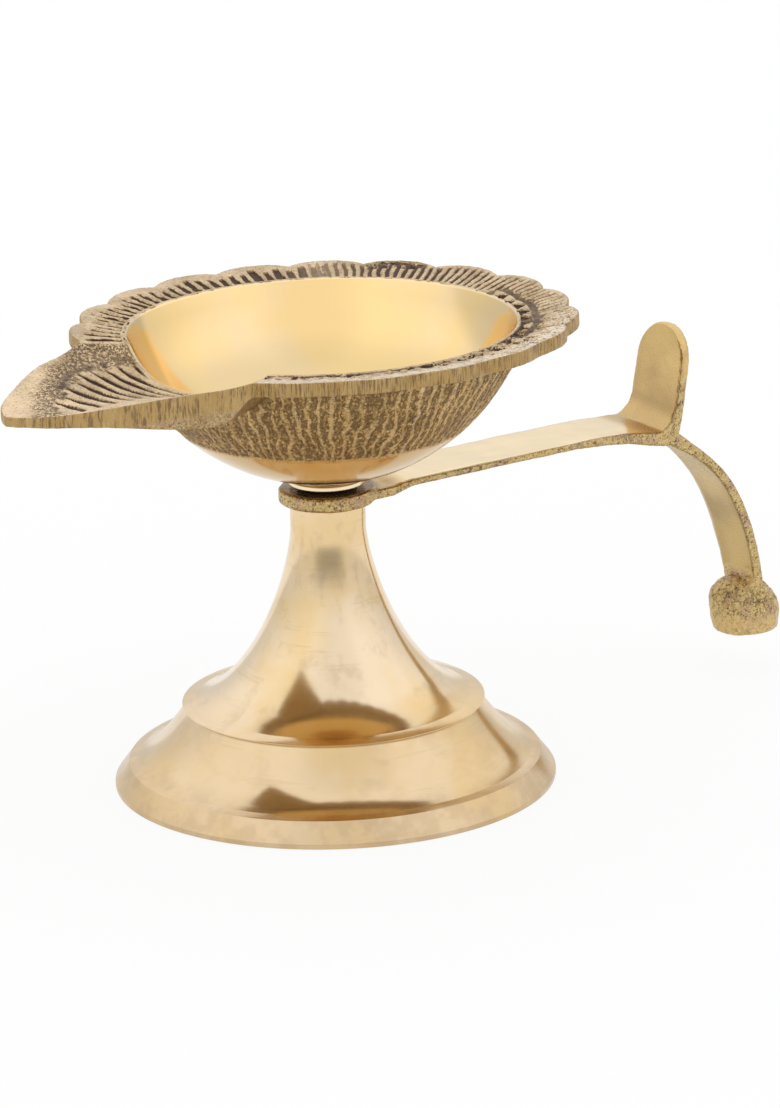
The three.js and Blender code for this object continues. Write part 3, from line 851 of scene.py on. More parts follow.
def cast_brass(colours):
    """The handle: satin faces and a paler top of the bar as a painted highlight, with filed and pitted
    edges where the rough number is high, and lacquer left in the deepest pits. The rough number also
    carries painted shade on the faces that look down, the tail's inner face gets a painted shade, and the
    lacquer colour on the eye's top face is painted shade."""
    material, graph = new_material("cast_brass")
    place = graph.coordinates()
    rough = graph.attribute("rough")
    cut = graph.attribute("cut")
    buffed = graph.attribute("buffed")
    flank = graph.attribute("flank")
    speck = graph.noise(place, 3200.0, 2.0, 0.6)
    sand = graph.noise(place, 1500.0, 3.0, 0.65)
    coarse_grain = graph.noise(place, 650.0, 3.0, 0.65)
    patch = graph.noise(place, 260.0, 3.0, 0.6)
    wide = graph.noise(place, 75.0, 2.0, 0.5)

    face = graph.layers(
        colours.cast,
        (wide.ramp(0.35, 0.65), colours.cast_dull),
        (speck.ramp(0.5, 0.7) * 0.12, colours.skin_pits),
        # Painted shade on the tail's inner face
        (flank * (0.6 + wide.ramp(0.4, 0.6) * 0.4), colours.flank),
        # Painted highlight on the bar's top
        (buffed, colours.buffed))
    edge = graph.layers(
        colours.edge_gold,
        (patch.ramp(0.46, 0.66), colours.edge_pink),
        (coarse_grain.ramp(0.52, 0.66) * 0.5, colours.smeared_dark),
        ((speck * 0.5 + sand * 0.5).ramp(0.50, 0.62) * 0.85, colours.skin_pits),
        (speck.ramp(0.46, 0.34) * 0.6, colours.edge_bright))
    depth = cut + sand.ramp(0.38, 0.26) * rough * 0.5
    base = graph.layers(face, (rough, edge), (depth.ramp(0.35, 1.0), colours.antique))

    roughness = 0.22 + sand * 0.1 + rough * 0.16 - buffed * 0.08
    metallic = 1.0 - depth.ramp(0.5, 1.0) * 0.5
    soft = bump(graph, speck, 0.03 * MM, 0.25)
    grit = (sand + speck * 0.6 + coarse_grain) * (rough + 0.04)
    set_shader(graph, base, roughness, metallic, bump(graph, grit, 0.3 * MM, 0.9, soft))
    return material


def steel_finish(name, tint, blotch, roughness):
    """Machined steel with faint blotches"""
    material, graph = new_material(name)
    place = graph.coordinates()
    blotches = graph.noise(place, 700.0, 3.0, 0.6)
    base = graph.tint(blotches.ramp(0.4, 0.7) * 0.5, tint, blotch)
    set_shader(graph, base, roughness + blotches * 0.15, normal=bump(graph, blotches, 0.02 * MM, 0.4))
    return material


def stand_profile(s):
    """The stand's outline from its axis outwards, up over the neck and back under through the hollow"""
    base_radius = (STAND_HIGH.x - STAND_LOW.x) / 2
    top = STAND_HIGH.z
    lip_radius = base_radius - s.lip_width
    band_top_radius = lip_radius - s.band_width
    band_top = s.cone_foot_height - s.cone_step
    cone_top = top - s.neck_length
    cone_foot_radius = band_top_radius + s.cone_overhang
    roof = top - s.neck_solid
    roof_share = (cone_top - roof) / (cone_top - s.cone_foot_height)
    roof_flare = flare(roof_share, s.cone_start, s.cone_end)
    roof_radius = mix(s.neck_radius, cone_foot_radius, roof_flare) - s.wall
    t = np.linspace(0, 1, 61)
    cone = np.stack([mix(s.neck_radius, cone_foot_radius, flare(t, s.cone_start, s.cone_end)),
                     mix(cone_top, s.cone_foot_height, t)], 1)
    t = np.linspace(0, 1, 25)
    band = np.stack([mix(band_top_radius, lip_radius, flare(t, 1, s.band_end)),
                     mix(band_top, s.lip_height, t)], 1)
    t = np.linspace(0, 1, 25)
    hollow = np.stack([mix(roof_radius, base_radius - s.rest_width, (1 - t) ** s.hollow_flare),
                       mix(0, roof, t)], 1)
    points = [(BORE_RADIUS, top), (s.neck_radius, top), *cone, *band,
              (base_radius, s.base_edge), (base_radius, 0), *hollow, (BORE_RADIUS, roof)]
    return round_corners(points[::-1], s.crease)


def ball_lean(radius, centre, z):
    """Angle from straight down at which a sphere reaches a height"""
    return np.arccos(np.clip((centre - z) / radius, -1, 1))


class BowlForm:
    """The bowl's surfaces. A station is an angle round the axis, with petal from -1 to 1 across a petal,
    spout from 0 at the petals to 1 on the spout's own line, and edge, the outline's distance there."""

    def __init__(self, sizes):
        self.sizes = s = sizes
        self.well_radius = (s.well_edge_radius ** 2 + s.well_cap_depth ** 2) / (2 * s.well_cap_depth)
        self.shell_radius = self.well_radius + s.bowl_wall
        rise = math.sqrt(self.shell_radius ** 2 - s.foot_radius ** 2)
        self.centre = BOWL_LOW.z + s.foot_height + rise
        self.top = self.centre - self.well_radius + s.well_cap_depth
        self.bore_top = STUD_HIGH.z + s.bore_spare
        self.floor = self.bore_top + s.floor_wall
        self.notch_radius = s.well_edge_radius + s.rim_width
        self.half = s.spout_angle / 2
        self.outline = self.spout_outline()

    def spout_outline(self):
        """Angles from the spout's line and distances from the axis, along a smooth curve"""
        shoulder = self.notch_radius * Vector((math.cos(self.half), math.sin(self.half)))
        points = [Vector((mix(shoulder.x, self.sizes.spout_reach, along), wide * shoulder.y))
                  for along, wide in SPOUT_OUTLINE]
        padded = [points[0], *points, points[-1]]
        curve = []
        for a, b, c, d in zip(padded, padded[1:], padded[2:], padded[3:]):
            for k in range(24):
                t = k / 24
                slope_b, slope_c = (c - a) * 0.5, (d - b) * 0.5
                curve.append((2 * t ** 3 - 3 * t ** 2 + 1) * b + (t ** 3 - 2 * t ** 2 + t) * slope_b
                             + (3 * t ** 2 - 2 * t ** 3) * c + (t ** 3 - t ** 2) * slope_c)
        curve.append(points[-1])
        away = np.array([math.atan2(p.y, p.x) for p in curve])[::-1]
        reach = np.array([p.length for p in curve])[::-1]
        return away, reach

    def petal_stations(self, steps):
        """Stations across all the petals, steps of them to a petal, from one side of the spout round"""
        s = self.sizes
        total = s.petal_count * steps
        i = np.arange(total + 1)
        around = (math.pi - self.half) * (2 * i / total - 1)
        petal = 2 * (i % steps) / steps - 1
        own = 1 + s.petal_spread * np.random.default_rng(7).uniform(-1, 1, s.petal_count + 1)
        swell = own[i // steps]
        stretch = s.rim_stretch * np.cos(around - s.stretch_side)
        edge = self.notch_radius + stretch + s.petal_bulge * swell * (1 - petal ** 2)
        return {"around": around, "petal": petal, "spout": 0 * around, "edge": edge}

    def spout_stations(self, steps):
        away = self.half * (1 - 2 * np.arange(steps + 1) / steps)
        spout = 1 - np.abs(away) / self.half
        edge = np.interp(np.abs(away), *self.outline)
        return {"around": math.pi - away, "petal": 1 + 0 * away, "spout": spout, "edge": edge}

    def settle(self, points):
        """Leans the bowl's upper part, curls its petals up and lets the spout hang, as in the casting"""
        s = self.sizes
        x, y, z = points.T
        around = np.arctan2(y, x)
        radius = np.hypot(x, y)
        upper = smooth((z - BOWL_LOW.z) / (self.top - BOWL_LOW.z))
        leaned = s.lean * radius * np.cos(around - s.raised_side) * upper
        outward = np.clip((radius - s.well_edge_radius) / s.rim_width, 0, 1)
        cupped = s.cup * outward * np.clip(np.cos(around - s.raised_side), 0, 1) * upper
        droop = s.spout_droop * smooth((-x - s.droop_start) / s.droop_length)
        return np.stack([x, y, z + leaned + cupped - droop], -1)

    def on_ball(self, radius, lean):
        """Radius and height of a point of the well's or the shell's sphere, from its angle to straight
        down"""
        return radius * np.sin(lean), self.centre - radius * np.cos(lean)

    def dip(self, spout):
        """How far the well's edge dips into the spout"""
        return self.sizes.spout_dip * (1 - (1 - spout) ** self.sizes.dip_ramp)

    def corners(self, st):
        """Radius and height of a station's four corners: the well's edge, the top and the bottom of the
        side, and the root of the underside on the shell"""
        s = self.sizes
        on_spout = smooth(st["spout"] / 0.2)
        dipped = self.dip(st["spout"])
        grown = smooth((1 - st["spout"]) / s.side_full) ** s.side_ramp
        side = mix(s.spout_tip_depth, s.spout_side_depth, grown)
        depth = mix(s.rim_edge_depth, side, on_spout)
        rise = (s.petal_rise - s.petal_groove * np.abs(st["petal"]) ** 3) * (1 - on_spout)
        lean = ball_lean(self.well_radius, self.centre, self.top - dipped)
        inner = self.well_radius * np.sin(lean)
        root_lean = ball_lean(self.shell_radius, self.centre, self.top - s.rim_underside - dipped)
        root, root_height = self.on_ball(self.shell_radius, root_lean)
        ramp = mix(1.0, s.trough_ramp, on_spout)
        edge_height = self.top + rise
        return {"inner": inner, "dipped": dipped, "ramp": ramp, "rise": rise, "edge": st["edge"],
                "edge_height": edge_height, "low": edge_height - depth, "root": root - s.shell_draw,
                "root_height": root_height, "lean": lean, "root_lean": root_lean}

    def top_surface(self, c, t):
        """A point of the carved top, at a share t of the way out from the well's edge"""
        trough = c["dipped"] * (1 - t) ** c["ramp"]
        return mix(c["inner"], c["edge"], t), self.top - trough + c["rise"] * t

    def column(self, c, top_steps):
        """Rows of one or more stations from the well's floor up over the rim and under it to the root:
        radius, height, across and face of every row. Face is 0 in the well, 1 on the top, 2 on the
        side, 3 on the underside and 4 where it is hidden in the wall."""
        s = self.sizes
        none, full = 0 * c["edge"], 1 + 0 * c["edge"]
        rows = []
        floor_lean = ball_lean(self.well_radius, self.centre, self.floor)
        near = s.corner / (c["edge"] - c["inner"])
        for t in np.linspace(0, 1, WELL_ROWS).tolist():
            lean = mix(floor_lean, c["lean"] - s.corner / self.well_radius, t)
            rows.append((*self.on_ball(self.well_radius, lean), none, 0))
        well_end, edge, top_start = rows[-1][:2], self.top_surface(c, none), self.top_surface(c, near)
        for t in WELL_BEND:
            rows.append((*bend(well_end, edge, top_start, t), none, 1))
        for t in np.linspace(0, 1, top_steps).tolist():
            across = mix(near, 1 - near, t)
            rows.append((*self.top_surface(c, across), across, 1))
        outer_top = self.top_surface(c, full)
        side = (c["edge"], outer_top[1] - s.corner)
        for t in SIDE_BEND:
            rows.append((*bend(self.top_surface(c, 1 - near), outer_top, side, t), full, 2))
        side_end = (c["edge"], c["low"] + s.corner)
        for t in np.linspace(0, 1, 7).tolist():
            rows.append((c["edge"], mix(side[1], side_end[1], t), full, 2))
        corner_share = s.corner / (c["edge"] - c["root"])
        under = (c["edge"] - s.corner, mix(c["low"], c["root_height"], corner_share))
        root = (c["root"], c["root_height"])
        for t in SIDE_BEND:
            rows.append((*bend(side_end, (c["edge"], c["low"]), under, t), full, 2))
        for t in np.linspace(0, 1, 9).tolist():
            rows.append((mix(under[0], root[0], t), mix(under[1], root[1], t), 1 - t + none, 3))
        middle = self.well_radius + s.bowl_wall / 2
        for t in np.linspace(0.02, 1, 6).tolist():
            lean = mix(c["root_lean"] - 0.03, floor_lean, t)
            rows.append((*self.on_ball(middle, lean), none, 4))
        return rows


def net_of(rows, around, slant):
    """Points and marks of a net, rows by columns. The columns lean by slant from the rim's edge to the
    well, so that they run along the petals' slanted cuts."""
    radius, height, across, face = (np.stack([row[i] + 0 * around for row in rows]) for i in range(4))
    return round_axis(radius, around - slant * (1 - across), height), across, face


def zip_columns(left, right, left_share, right_share):
    """Triangles between two neighbouring columns with different numbers of rows"""
    i = j = 0
    faces = []
    while i < len(left) - 1 or j < len(right) - 1:
        at_left_end, at_right_end = i == len(left) - 1, j == len(right) - 1
        if at_right_end or (not at_left_end and left_share[i + 1] <= right_share[j + 1]):
            faces.append((left[i], right[j], left[i + 1]))
            i += 1
        else:
            faces.append((left[i], right[j], right[j + 1]))
            j += 1
    return np.array(faces)


def row_shares(row_count, top_steps):
    """A number for each row that grows along a column and agrees between columns: the rows of the carved
    top take up the same span of numbers, however many they are"""
    top_end = ROWS_BEFORE_TOP + top_steps - 1
    beyond = ROWS_BEFORE_TOP + TOP_SPAN
    places = (0, ROWS_BEFORE_TOP, top_end, row_count - 1)
    shares = (0, ROWS_BEFORE_TOP, beyond, beyond + row_count - 1 - top_end)
    return np.interp(np.arange(row_count), places, shares)


def rim_mesh(form, cut_slant, petal_steps=40, petal_rows=46, spout_steps=220, spout_rows=120):
    """The well, the petalled rim and the spout as one closed skin"""
    petals = form.petal_stations(petal_steps)
    petals = {k: v[1:-1] for k, v in petals.items()}
    spout = form.spout_stations(spout_steps)
    nets, marks, shares = [], [], []
    for st, steps in ((petals, petal_rows), (spout, spout_rows)):
        rows = form.column(form.corners(st), steps)
        beyond_spout = (math.pi - np.abs(st["around"])) / form.half - 1
        slant = cut_slant * np.sin(SLANT_SIDE - st["around"]) * smooth(beyond_spout / SLANT_FADE)
        points, across, face = net_of(rows, st["around"], slant)
        nets.append(points)
        marks.append({"across": across, "face": face})
        shares.append(row_shares(len(rows), steps))
    first = numbers_of(nets[0])
    second = numbers_of(nets[1], first.size)
    faces = [net_faces(first, round_columns=False), net_faces(second, round_columns=False),
             zip_columns(first[:, -1], second[:, 0], *shares),
             zip_columns(second[:, -1], first[:, 0], *reversed(shares))]
    floor = first.size + second.size
    faces.append(fan_faces(floor, np.concatenate([first[0], second[0]]), True))
    faces.append(fan_faces(floor + 1, np.concatenate([first[-1], second[-1]])))
    floor_lean = float(ball_lean(form.well_radius, form.centre, form.floor))
    hidden_floor = form.on_ball(form.well_radius + form.sizes.bowl_wall / 2, floor_lean)[1]
    middles = [[0, 0, form.floor], [0, 0, hidden_floor]]
    points = np.concatenate([nets[0].reshape(-1, 3), nets[1].reshape(-1, 3), middles])
    marks = {k: np.concatenate([marks[0][k].ravel(), marks[1][k].ravel(), [0, 4 if k == "face" else 0]])
             for k in ("across", "face")}
    marks["below"] = form.top - points[:, 2]
    return form.settle(points), np.concatenate(faces)[:, ::-1], marks


def rim_cuts(g, place, cuts):
    """The carving of the rim's top, for the mesh and for its finish alike: how deep the petals' cuts, the
    spout's veins and the stipple go at a place, from 0 to 1, and how worn its edge is"""
    x, y, _ = g.parts(place)
    around = g.sum("ARCTAN2", y, x)
    across, face = g.attribute("across"), g.attribute("face")
    spout = 1.0 - (math.pi - abs(around)) / (cuts["Spout arc"] / 2)
    on_top = face.ramp(0.6, 0.9) * face.ramp(1.4, 1.1)
    on_petals = spout.ramp(0.03, 0.0)
    wobble = g.noise(place, 220.0, 2.0, 0.5) - 0.5
    broad = g.noise(place, 60.0, 2.0, 0.5)
    ragged = g.noise(place, 700.0, 3.0, 0.65)
    near_side = around.towards(NEAR_SIDE).ramp(0.1, 0.8)
    far_right = around.towards(FAR_RIGHT).ramp(0.2, 0.7)
    slant = cuts["Cut slant"] * g.sum("SINE", SLANT_SIDE - around) * spout.ramp(0.0, -SLANT_FADE)
    leaning = around - across * slant

    # Teeth of the petals: wide at the well's edge, narrow further out, each with its own length
    turn = leaning / cuts["Petal arc"] * cuts["Rim cuts"] + wobble * 0.45
    chance = g.chance(turn)
    reach = cuts["Rim cut end"] * (0.85 + chance * 0.3)
    outward = across / reach
    half = 0.68 + chance * 0.2 - outward * 0.32
    teeth = turn.swing().ramp(half + 0.08, half - 0.08) * outward.ramp(1.04, 0.88)
    teeth = teeth * across.ramp(0.10, 0.13) * (1.0 - far_right) * (0.8 + chance * 0.2)

    # Fine cuts on the petals of the far right, out to the petals' edges
    inner_band = around.towards(ZIGZAG_SIDE).ramp(0.84, 0.92)
    fine_turn = leaning / cuts["Petal arc"] * cuts["Fine cuts"] + wobble * 0.8
    fine_cut = fine_turn.swing().ramp(0.62, 0.26) * (0.8 - 0.2 * inner_band) * far_right
    fine_cut = fine_cut * (across - inner_band * 0.3).ramp(0.10, 0.15) * across.ramp(1.0, 0.85)

    # A zigzag of deep cuts round the well's edge there, and a dark ring outside it
    point = (around / cuts["Petal arc"] * cuts["Zigzag"] + wobble * 0.4).swing()
    zigzag = (1.0 - point - (across - 0.07) / 0.24).ramp(0.0, 0.15) * across.ramp(0.06, 0.075)
    outer_end = across + (ragged - 0.5) * 0.3
    ring = across.ramp(0.25, 0.29) * outer_end.ramp(0.46, 0.38) * (0.35 + ragged * 0.6 + broad * 0.3)
    zigzag = zigzag.most(ring * 0.85) * inner_band

    # A patch of lacquer on one petal, and short dark marks along the well's edge at the back, which are
    # painted shade
    blot = around.towards(STAINED_PETAL).ramp(0.984, 0.996) * across.ramp(0.55, 0.75)
    arcs = g.noise(g.vector(around, 0.0, 0.0), 12.0, 2.0, 0.5).ramp(0.52, 0.56)
    slit_shade = across.ramp(0.030, 0.040) * across.ramp(0.072, 0.060) * arcs * (1.0 - near_side)

    # The near side is crumbled, with a ragged dark line beside the well's edge
    crumb = g.noise(place, 430.0, 4.0, 0.65)
    crumbs = (crumb + across * 0.3).ramp(0.62, 0.54) * across.ramp(0.04, 0.08) * across.ramp(0.75, 0.5)
    teeth = (teeth * (1.0 - near_side * 0.75)).most(crumbs * near_side)
    teeth = teeth.most(fine_cut).most(zigzag).most(blot * ragged.ramp(0.38, 0.5) * 0.9).most(slit_shade)
    teeth = teeth * on_petals * on_top

    # Veins across the spout, bent towards its tip on the near side, ending along a curve
    u, v = -x, y
    near = (v - VEIN_BEND_SIDE).least(0.0)
    vein = (u - near * near * VEIN_BEND - VEIN_FIRST + wobble * 0.9 * MM) / cuts["Vein pitch"]
    along = u - VEINS_FAR_U
    beyond = v - VEINS_FAR_V + along * along * VEINS_FAR_CURVE
    vein_end = beyond + g.chance(vein) * VEIN_END_SPREAD
    before_tip = (u - VEINS_TIP_U).ramp_mm(2.2, 0)
    thin = vein_end.ramp_mm(-4.5, 0) * 0.3 + v.ramp_mm(-4, -7.5) * 0.25
    groove = (vein.swing() + thin).ramp(0.66, 0.44)
    from_near = v - VEINS_NEAR_V
    inside = vein_end.ramp_mm(0.6, -0.6) * from_near.ramp_mm(-1.4, 0) * before_tip
    veins = groove * inside * across.ramp(0.04, 0.09) * spout.ramp(0.0, 0.02) * on_top

    # Stipple between the veins and the spout's smooth border, darkest beside the veins
    grain = g.grains(place, 1.0 / cuts["Grain size"])
    tiny = g.grains(place, 1.9 / cuts["Grain size"])
    pits = (grain * 0.55 + tiny * 0.5).ramp(0.40, 0.60) * (0.5 + broad * 0.6)
    along = u - BORDER_U
    border = v - BORDER_V + along * BORDER_SLOPE + along * along * BORDER_CURVE
    speckled = (1.0 - inside) * (border + wobble * 6 * MM).ramp_mm(3.2, -2)
    shade = beyond.ramp_mm(2.2, 0) * beyond.ramp_mm(-4.2, -2) * before_tip
    shade = shade * (1.0 - inside * 0.6) * (ragged * 0.7 + broad * 0.3).ramp(0.44, 0.58) * 0.75
    on_spout = from_near.ramp_mm(-1.2, 0.4) * across.ramp(0.02, 0.06) * spout.ramp(0.0, 0.04) * on_top
    stipple = (pits * speckled * 0.75).most(shade) * on_spout

    # Bright worn edges, most of all round the near side
    worn = across.ramp(0.8, 0.96) * (0.15 + 0.85 * near_side)
    worn = worn.most(across.ramp(0.45, 0.7) * near_side * 0.9) * on_petals * ragged.ramp(0.40, 0.52)
    worn = worn.most(across.ramp(0.06, 0.03) * 0.25 * (1.0 - slit_shade)) * on_top
    return teeth, veins, stipple, worn


def rim_carving(cuts):
    """The tree that carves the rim's top and roughens its side, and stores how rough each place is"""
    depths = ("Rim cut depth", "Vein depth", "Grain depth", "Filed height")
    g = GeometryGraph("rim_carving", (*cuts, *depths))
    across, face = g.attribute("across"), g.attribute("face")
    on_top = g.sum("COMPARE", face, 1.0, 0.4)
    on_side = g.sum("COMPARE", face, 2.0, 0.4)
    on_under = g.sum("COMPARE", face, 3.0, 0.4)
    teeth, veins, stipple, _ = rim_cuts(g, g.position, {name: g.size(name) for name in cuts})
    depth = teeth * g.size("Rim cut depth")
    depth = depth.most(veins * g.size("Vein depth")).most(stipple * g.size("Grain depth"))
    lumps = (g.noise(g.position, 60.0, 2.0, 0.5) - 0.5) * 0.35 * MM * on_top * across.ramp(0.02, 0.2)
    crumble = (g.noise(g.position, 900.0, 2.0, 0.6) - 0.5) * (on_side + on_under * 0.7)
    normal = g.make("GeometryNodeInputNormal")
    offset = g.make("ShaderNodeVectorMath", {"operation": "ADD"}, {
        0: g.vector(0.0, 0.0, lumps - depth * on_top), 1: g.scaled(normal, crumble * 0.22 * MM)})
    filed_height = g.size("Filed height")
    filed = on_side * g.attribute("below").ramp(filed_height * 1.15, filed_height * 0.95)
    lip = on_top * across.ramp(0.015, 0.05)
    # The under number marks the rim's underside and the unfiled lower part of its side, which the finish
    # darkens as rough casting and as painted shade
    shaped = g.store(rough=on_side.most(on_under).most(lip), side=filed,
                     under=on_under.most((on_side - filed) * 0.6))
    g.end(g.shift(shaped, offset))
    return g


def shell_mesh(form, columns=800, rows=84):
    """The outside of the bowl with its foot and its bore, closed by a hidden wall inside"""
    s = form.sizes
    turn = -math.pi + form.half + TURN * np.arange(columns) / columns
    dipped = form.dip(np.clip(1 - np.abs(math.pi - turn) / form.half, 0, 1))
    foot_lean = math.asin(s.foot_radius / form.shell_radius)
    root_lean = ball_lean(form.shell_radius, form.centre, form.top - s.rim_underside * 0.55 - dipped)
    floor_lean = float(ball_lean(form.well_radius, form.centre, form.floor))
    hidden = form.well_radius + s.bowl_wall * 0.4
    bevel = 0.1 * MM
    net = [(BORE_RADIUS, form.bore_top), (BORE_RADIUS, BOWL_LOW.z),
           (s.foot_radius - bevel, BOWL_LOW.z), (s.foot_radius, BOWL_LOW.z + bevel)]
    foot_rows = len(net)
    for t in np.linspace(0, 1, rows).tolist():
        radius, height = form.on_ball(form.shell_radius, mix(foot_lean, root_lean, t))
        net.append((radius - s.shell_draw * float(smooth(1.2 * t)), height))
    for t in np.linspace(0, 1, 8).tolist():
        net.append(form.on_ball(hidden, mix(root_lean, floor_lean, t)))
    inner_top = form.on_ball(hidden, floor_lean)[1]
    outside = np.zeros((len(net), columns))
    outside[foot_rows:foot_rows + rows] = 1
    net = np.stack([round_axis(r, turn, z) for r, z in net])
    points, faces = capped(net, (0, 0, form.bore_top), (0, 0, inner_top))
    return form.settle(points), faces, {"outside": np.append(outside.ravel(), [0, 0])}


def shell_cuts(g, place, cuts):
    """The carving outside the bowl, for the mesh and for its finish alike: how deep a place lies between
    the ribs, from 0 to 1, where the rough band is, and where the ribs stand out"""
    x, y, z = g.parts(place)
    around = g.sum("ARCTAN2", y, x)
    wobble = g.noise(place, 170.0, 2.0, 0.55) - 0.5
    patch = g.noise(place, 85.0, 2.0, 0.5)
    turn = around / TURN * cuts["Ribs"] + wobble * 2.2
    stretched = g.vector(around * 0.034, z * 0.6, 0.0)
    worms = g.noise(stretched, 1800.0, 2.0, 0.6).ramp(0.58, 0.44)
    grain = g.grains(place, 1.0 / cuts["Grain size"]).ramp(0.35, 0.65)
    ribbed = 0.35 + 0.65 * around.towards(RIBBED_SIDE).ramp(-0.5, 0.5)
    ridge = turn.swing().ramp(0.42, 0.14) * ribbed
    ridge = ridge * patch.ramp(0.3, 0.48) * (0.45 + g.chance(turn) * 0.55)
    ragged = z + wobble * 0.9 * MM
    band = (ragged - cuts["Band bottom"]).ramp_mm(-0.3, 0.3) * g.attribute("outside")
    cut = (0.3 + (worms * 0.7).most(grain * 0.6)) * (1.0 - ridge)
    return (cut * band).least(1.0), band, ridge * band


def shell_carving(cuts):
    """The tree that cuts the ribs and the stipple round the outside of the bowl"""
    g = GeometryGraph("shell_carving", (*cuts, "Rib depth"))
    cut, band, _ = shell_cuts(g, g.position, {name: g.size(name) for name in cuts})
    normal = g.make("GeometryNodeInputNormal")
    g.end(g.shift(g.store(rough=band), g.scaled(normal, 0.0 - cut * g.size("Rib depth"))))
    return g


def strip_mesh(stations):
    """A flat strip along a curve in the handle's upright plane. Each station is out, up, width, thickness
    and the extra width of its far side, and its section is a rectangle with broken edges."""
    rows = []
    for i, (out, up, width, thickness, flank) in enumerate(stations):
        a, b = stations[max(0, i - 1)], stations[min(len(stations) - 1, i + 1)]
        along = Vector((b[0] - a[0], b[1] - a[1])).normalized()
        near, far, h = width / 2, -width / 2 - flank, thickness / 2
        edge, soft = STRIP_EDGE, STRIP_EDGE + 0.5 * flank
        section = ((far + soft, -h), (near - edge, -h), (near, -h + edge), (near, h - edge),
                   (near - edge, h), (far + edge, h), (far, h - edge), (far, -h + min(soft, h)))
        rows.append([(out - along.y * off, -sideways, up + along.x * off) for sideways, off in section])
    first, last = stations[0], stations[-1]
    return capped(np.array(rows), (first[0], 0, first[1]), (last[0], 0, last[1]))


def bar_stations(s, bar_top):
    """The bar, from inside the eye to below the thumb rest, with its top a little higher at the eye"""
    def level(out, thickness):
        rise = s.bar_rise * (1 - (out - s.eye_radius) / (s.thumb_reach - s.eye_radius))
        return out, bar_top + rise - thickness / 2, s.bar_width, thickness, 0

    root_top = mix(HANDLE_EYE_TOP, bar_top, 0.5) - STRIP_EDGE
    thickness = root_top - STAND_HIGH.z - STRIP_EDGE
    root = (root_top - thickness / 2, s.bar_width, thickness, 0)
    stations = [(s.eye_radius / 2, *root), (s.eye_radius + s.bar_root / 4, *root),
                level(s.eye_radius + s.bar_root, s.bar_thickness)]
    for t in (0, 0.25, 0.5, 0.8, 1):
        out = s.thumb_reach - s.bar_swell_length * (1 - t)
        stations.append(level(out, s.bar_thickness + s.bar_swell * t))
    return stations


def tail_stations(s, bar_top, foot_top, steps=28):
    """The tail, down one smooth curve from the thumb rest into the button foot. Its far flank is full
    from halfway down and narrows by a third at its end, and it is thickest at its root."""
    a, b, c, d = (Vector((s.thumb_reach + out * s.tail_reach, mix(foot_top, bar_top, up)))
                  for out, up in TAIL_CURVE)
    stations = []
    for t in np.linspace(0, 1, steps).tolist():
        point = (1 - t) ** 3 * a + 3 * t * (1 - t) ** 2 * b + 3 * t ** 2 * (1 - t) * c + t ** 3 * d
        near = (1 - t) ** 6
        flank = s.tail_flank * float(smooth(t / 0.5) * (1 - 0.35 * smooth((t - 0.75) / 0.25)))
        thickness = s.tail_thickness + s.tail_root * near + s.tail_end * t ** 4
        stations.append((point.x, point.y, s.tail_width, thickness, flank))
    return stations


def sagged(points, s, bar_top):
    """Bends the bar's end down under the thumb rest, its near edge most. The bend fades out from 4 to
    12 mm above the bar's top and from 2 to 14 mm below it."""
    x, y, z = points.T
    along = smooth((x - s.bar_sag_start) / (s.thumb_reach - s.bar_sag_start))
    above = 1 - smooth((z - bar_top - 4 * MM) / (8 * MM))
    below = 1 - smooth((bar_top - 2 * MM - z) / (12 * MM))
    edge = 1 - s.bar_twist * y / (s.bar_width / 2)
    return np.stack([x, y, z - s.bar_sag * along * above * below * edge], -1)


def thumb_stations(s, bar_top, steps=18):
    """The thumb rest, from its root in the bar up to its round top"""
    def station(up, width, extra):
        out = s.thumb_reach + up * math.tan(s.thumb_lean) - extra / 2
        return out, bar_top + up, width, s.thumb_thickness + extra, 0

    half = s.thumb_width / 2
    shoulder = s.thumb_height - half
    stations = [station(mix(-s.thumb_root_depth, s.thumb_fillet_height, t), s.thumb_width,
                        s.thumb_fillet * (1 - t) ** 2.2) for t in np.linspace(0, 1, 9).tolist()]
    for t in np.linspace(0, 1, steps).tolist():
        turn = t * THUMB_ROUND
        stations.append(station(shoulder + half * math.sin(turn), s.thumb_width * math.cos(turn), 0))
    return stations


def foot_profile(s):
    """Half of the button foot's outline, from the middle of its face to the middle of its top: out to its
    widest ring, then up a dome that is a little fuller than an ellipse"""
    bottom = HANDLE_LOW.z
    points = [(0, bottom)]
    for t in np.linspace(0, 1, 8).tolist():
        points.append((mix(s.foot_face_radius, s.foot_radius, math.sin(t * math.pi / 2)),
                       bottom + s.foot_waist * t))
    for t in np.linspace(0, 1, 12).tolist()[1:-1]:
        points.append((s.foot_radius * math.cos(t * math.pi / 2) ** 0.8,
                       bottom + mix(s.foot_waist, s.foot_height, math.sin(t * math.pi / 2) ** 0.85)))
    points.append((0, bottom + s.foot_height))
    return points


def spun_mesh(profile, steps):
    """Points and triangles of a profile that starts and ends on the axis"""
    return capped(spin(profile[1:-1], steps), (0, 0, profile[0][1]), (0, 0, profile[-1][1]))


def joined(parts):
    """Several closed meshes as one list of points and triangles"""
    points, faces, start = [], [], 0
    for p, f in parts:
        points.append(np.asarray(p, float))
        faces.append(np.asarray(f) + start)
        start += len(p)
    return np.concatenate(points), np.concatenate(faces)


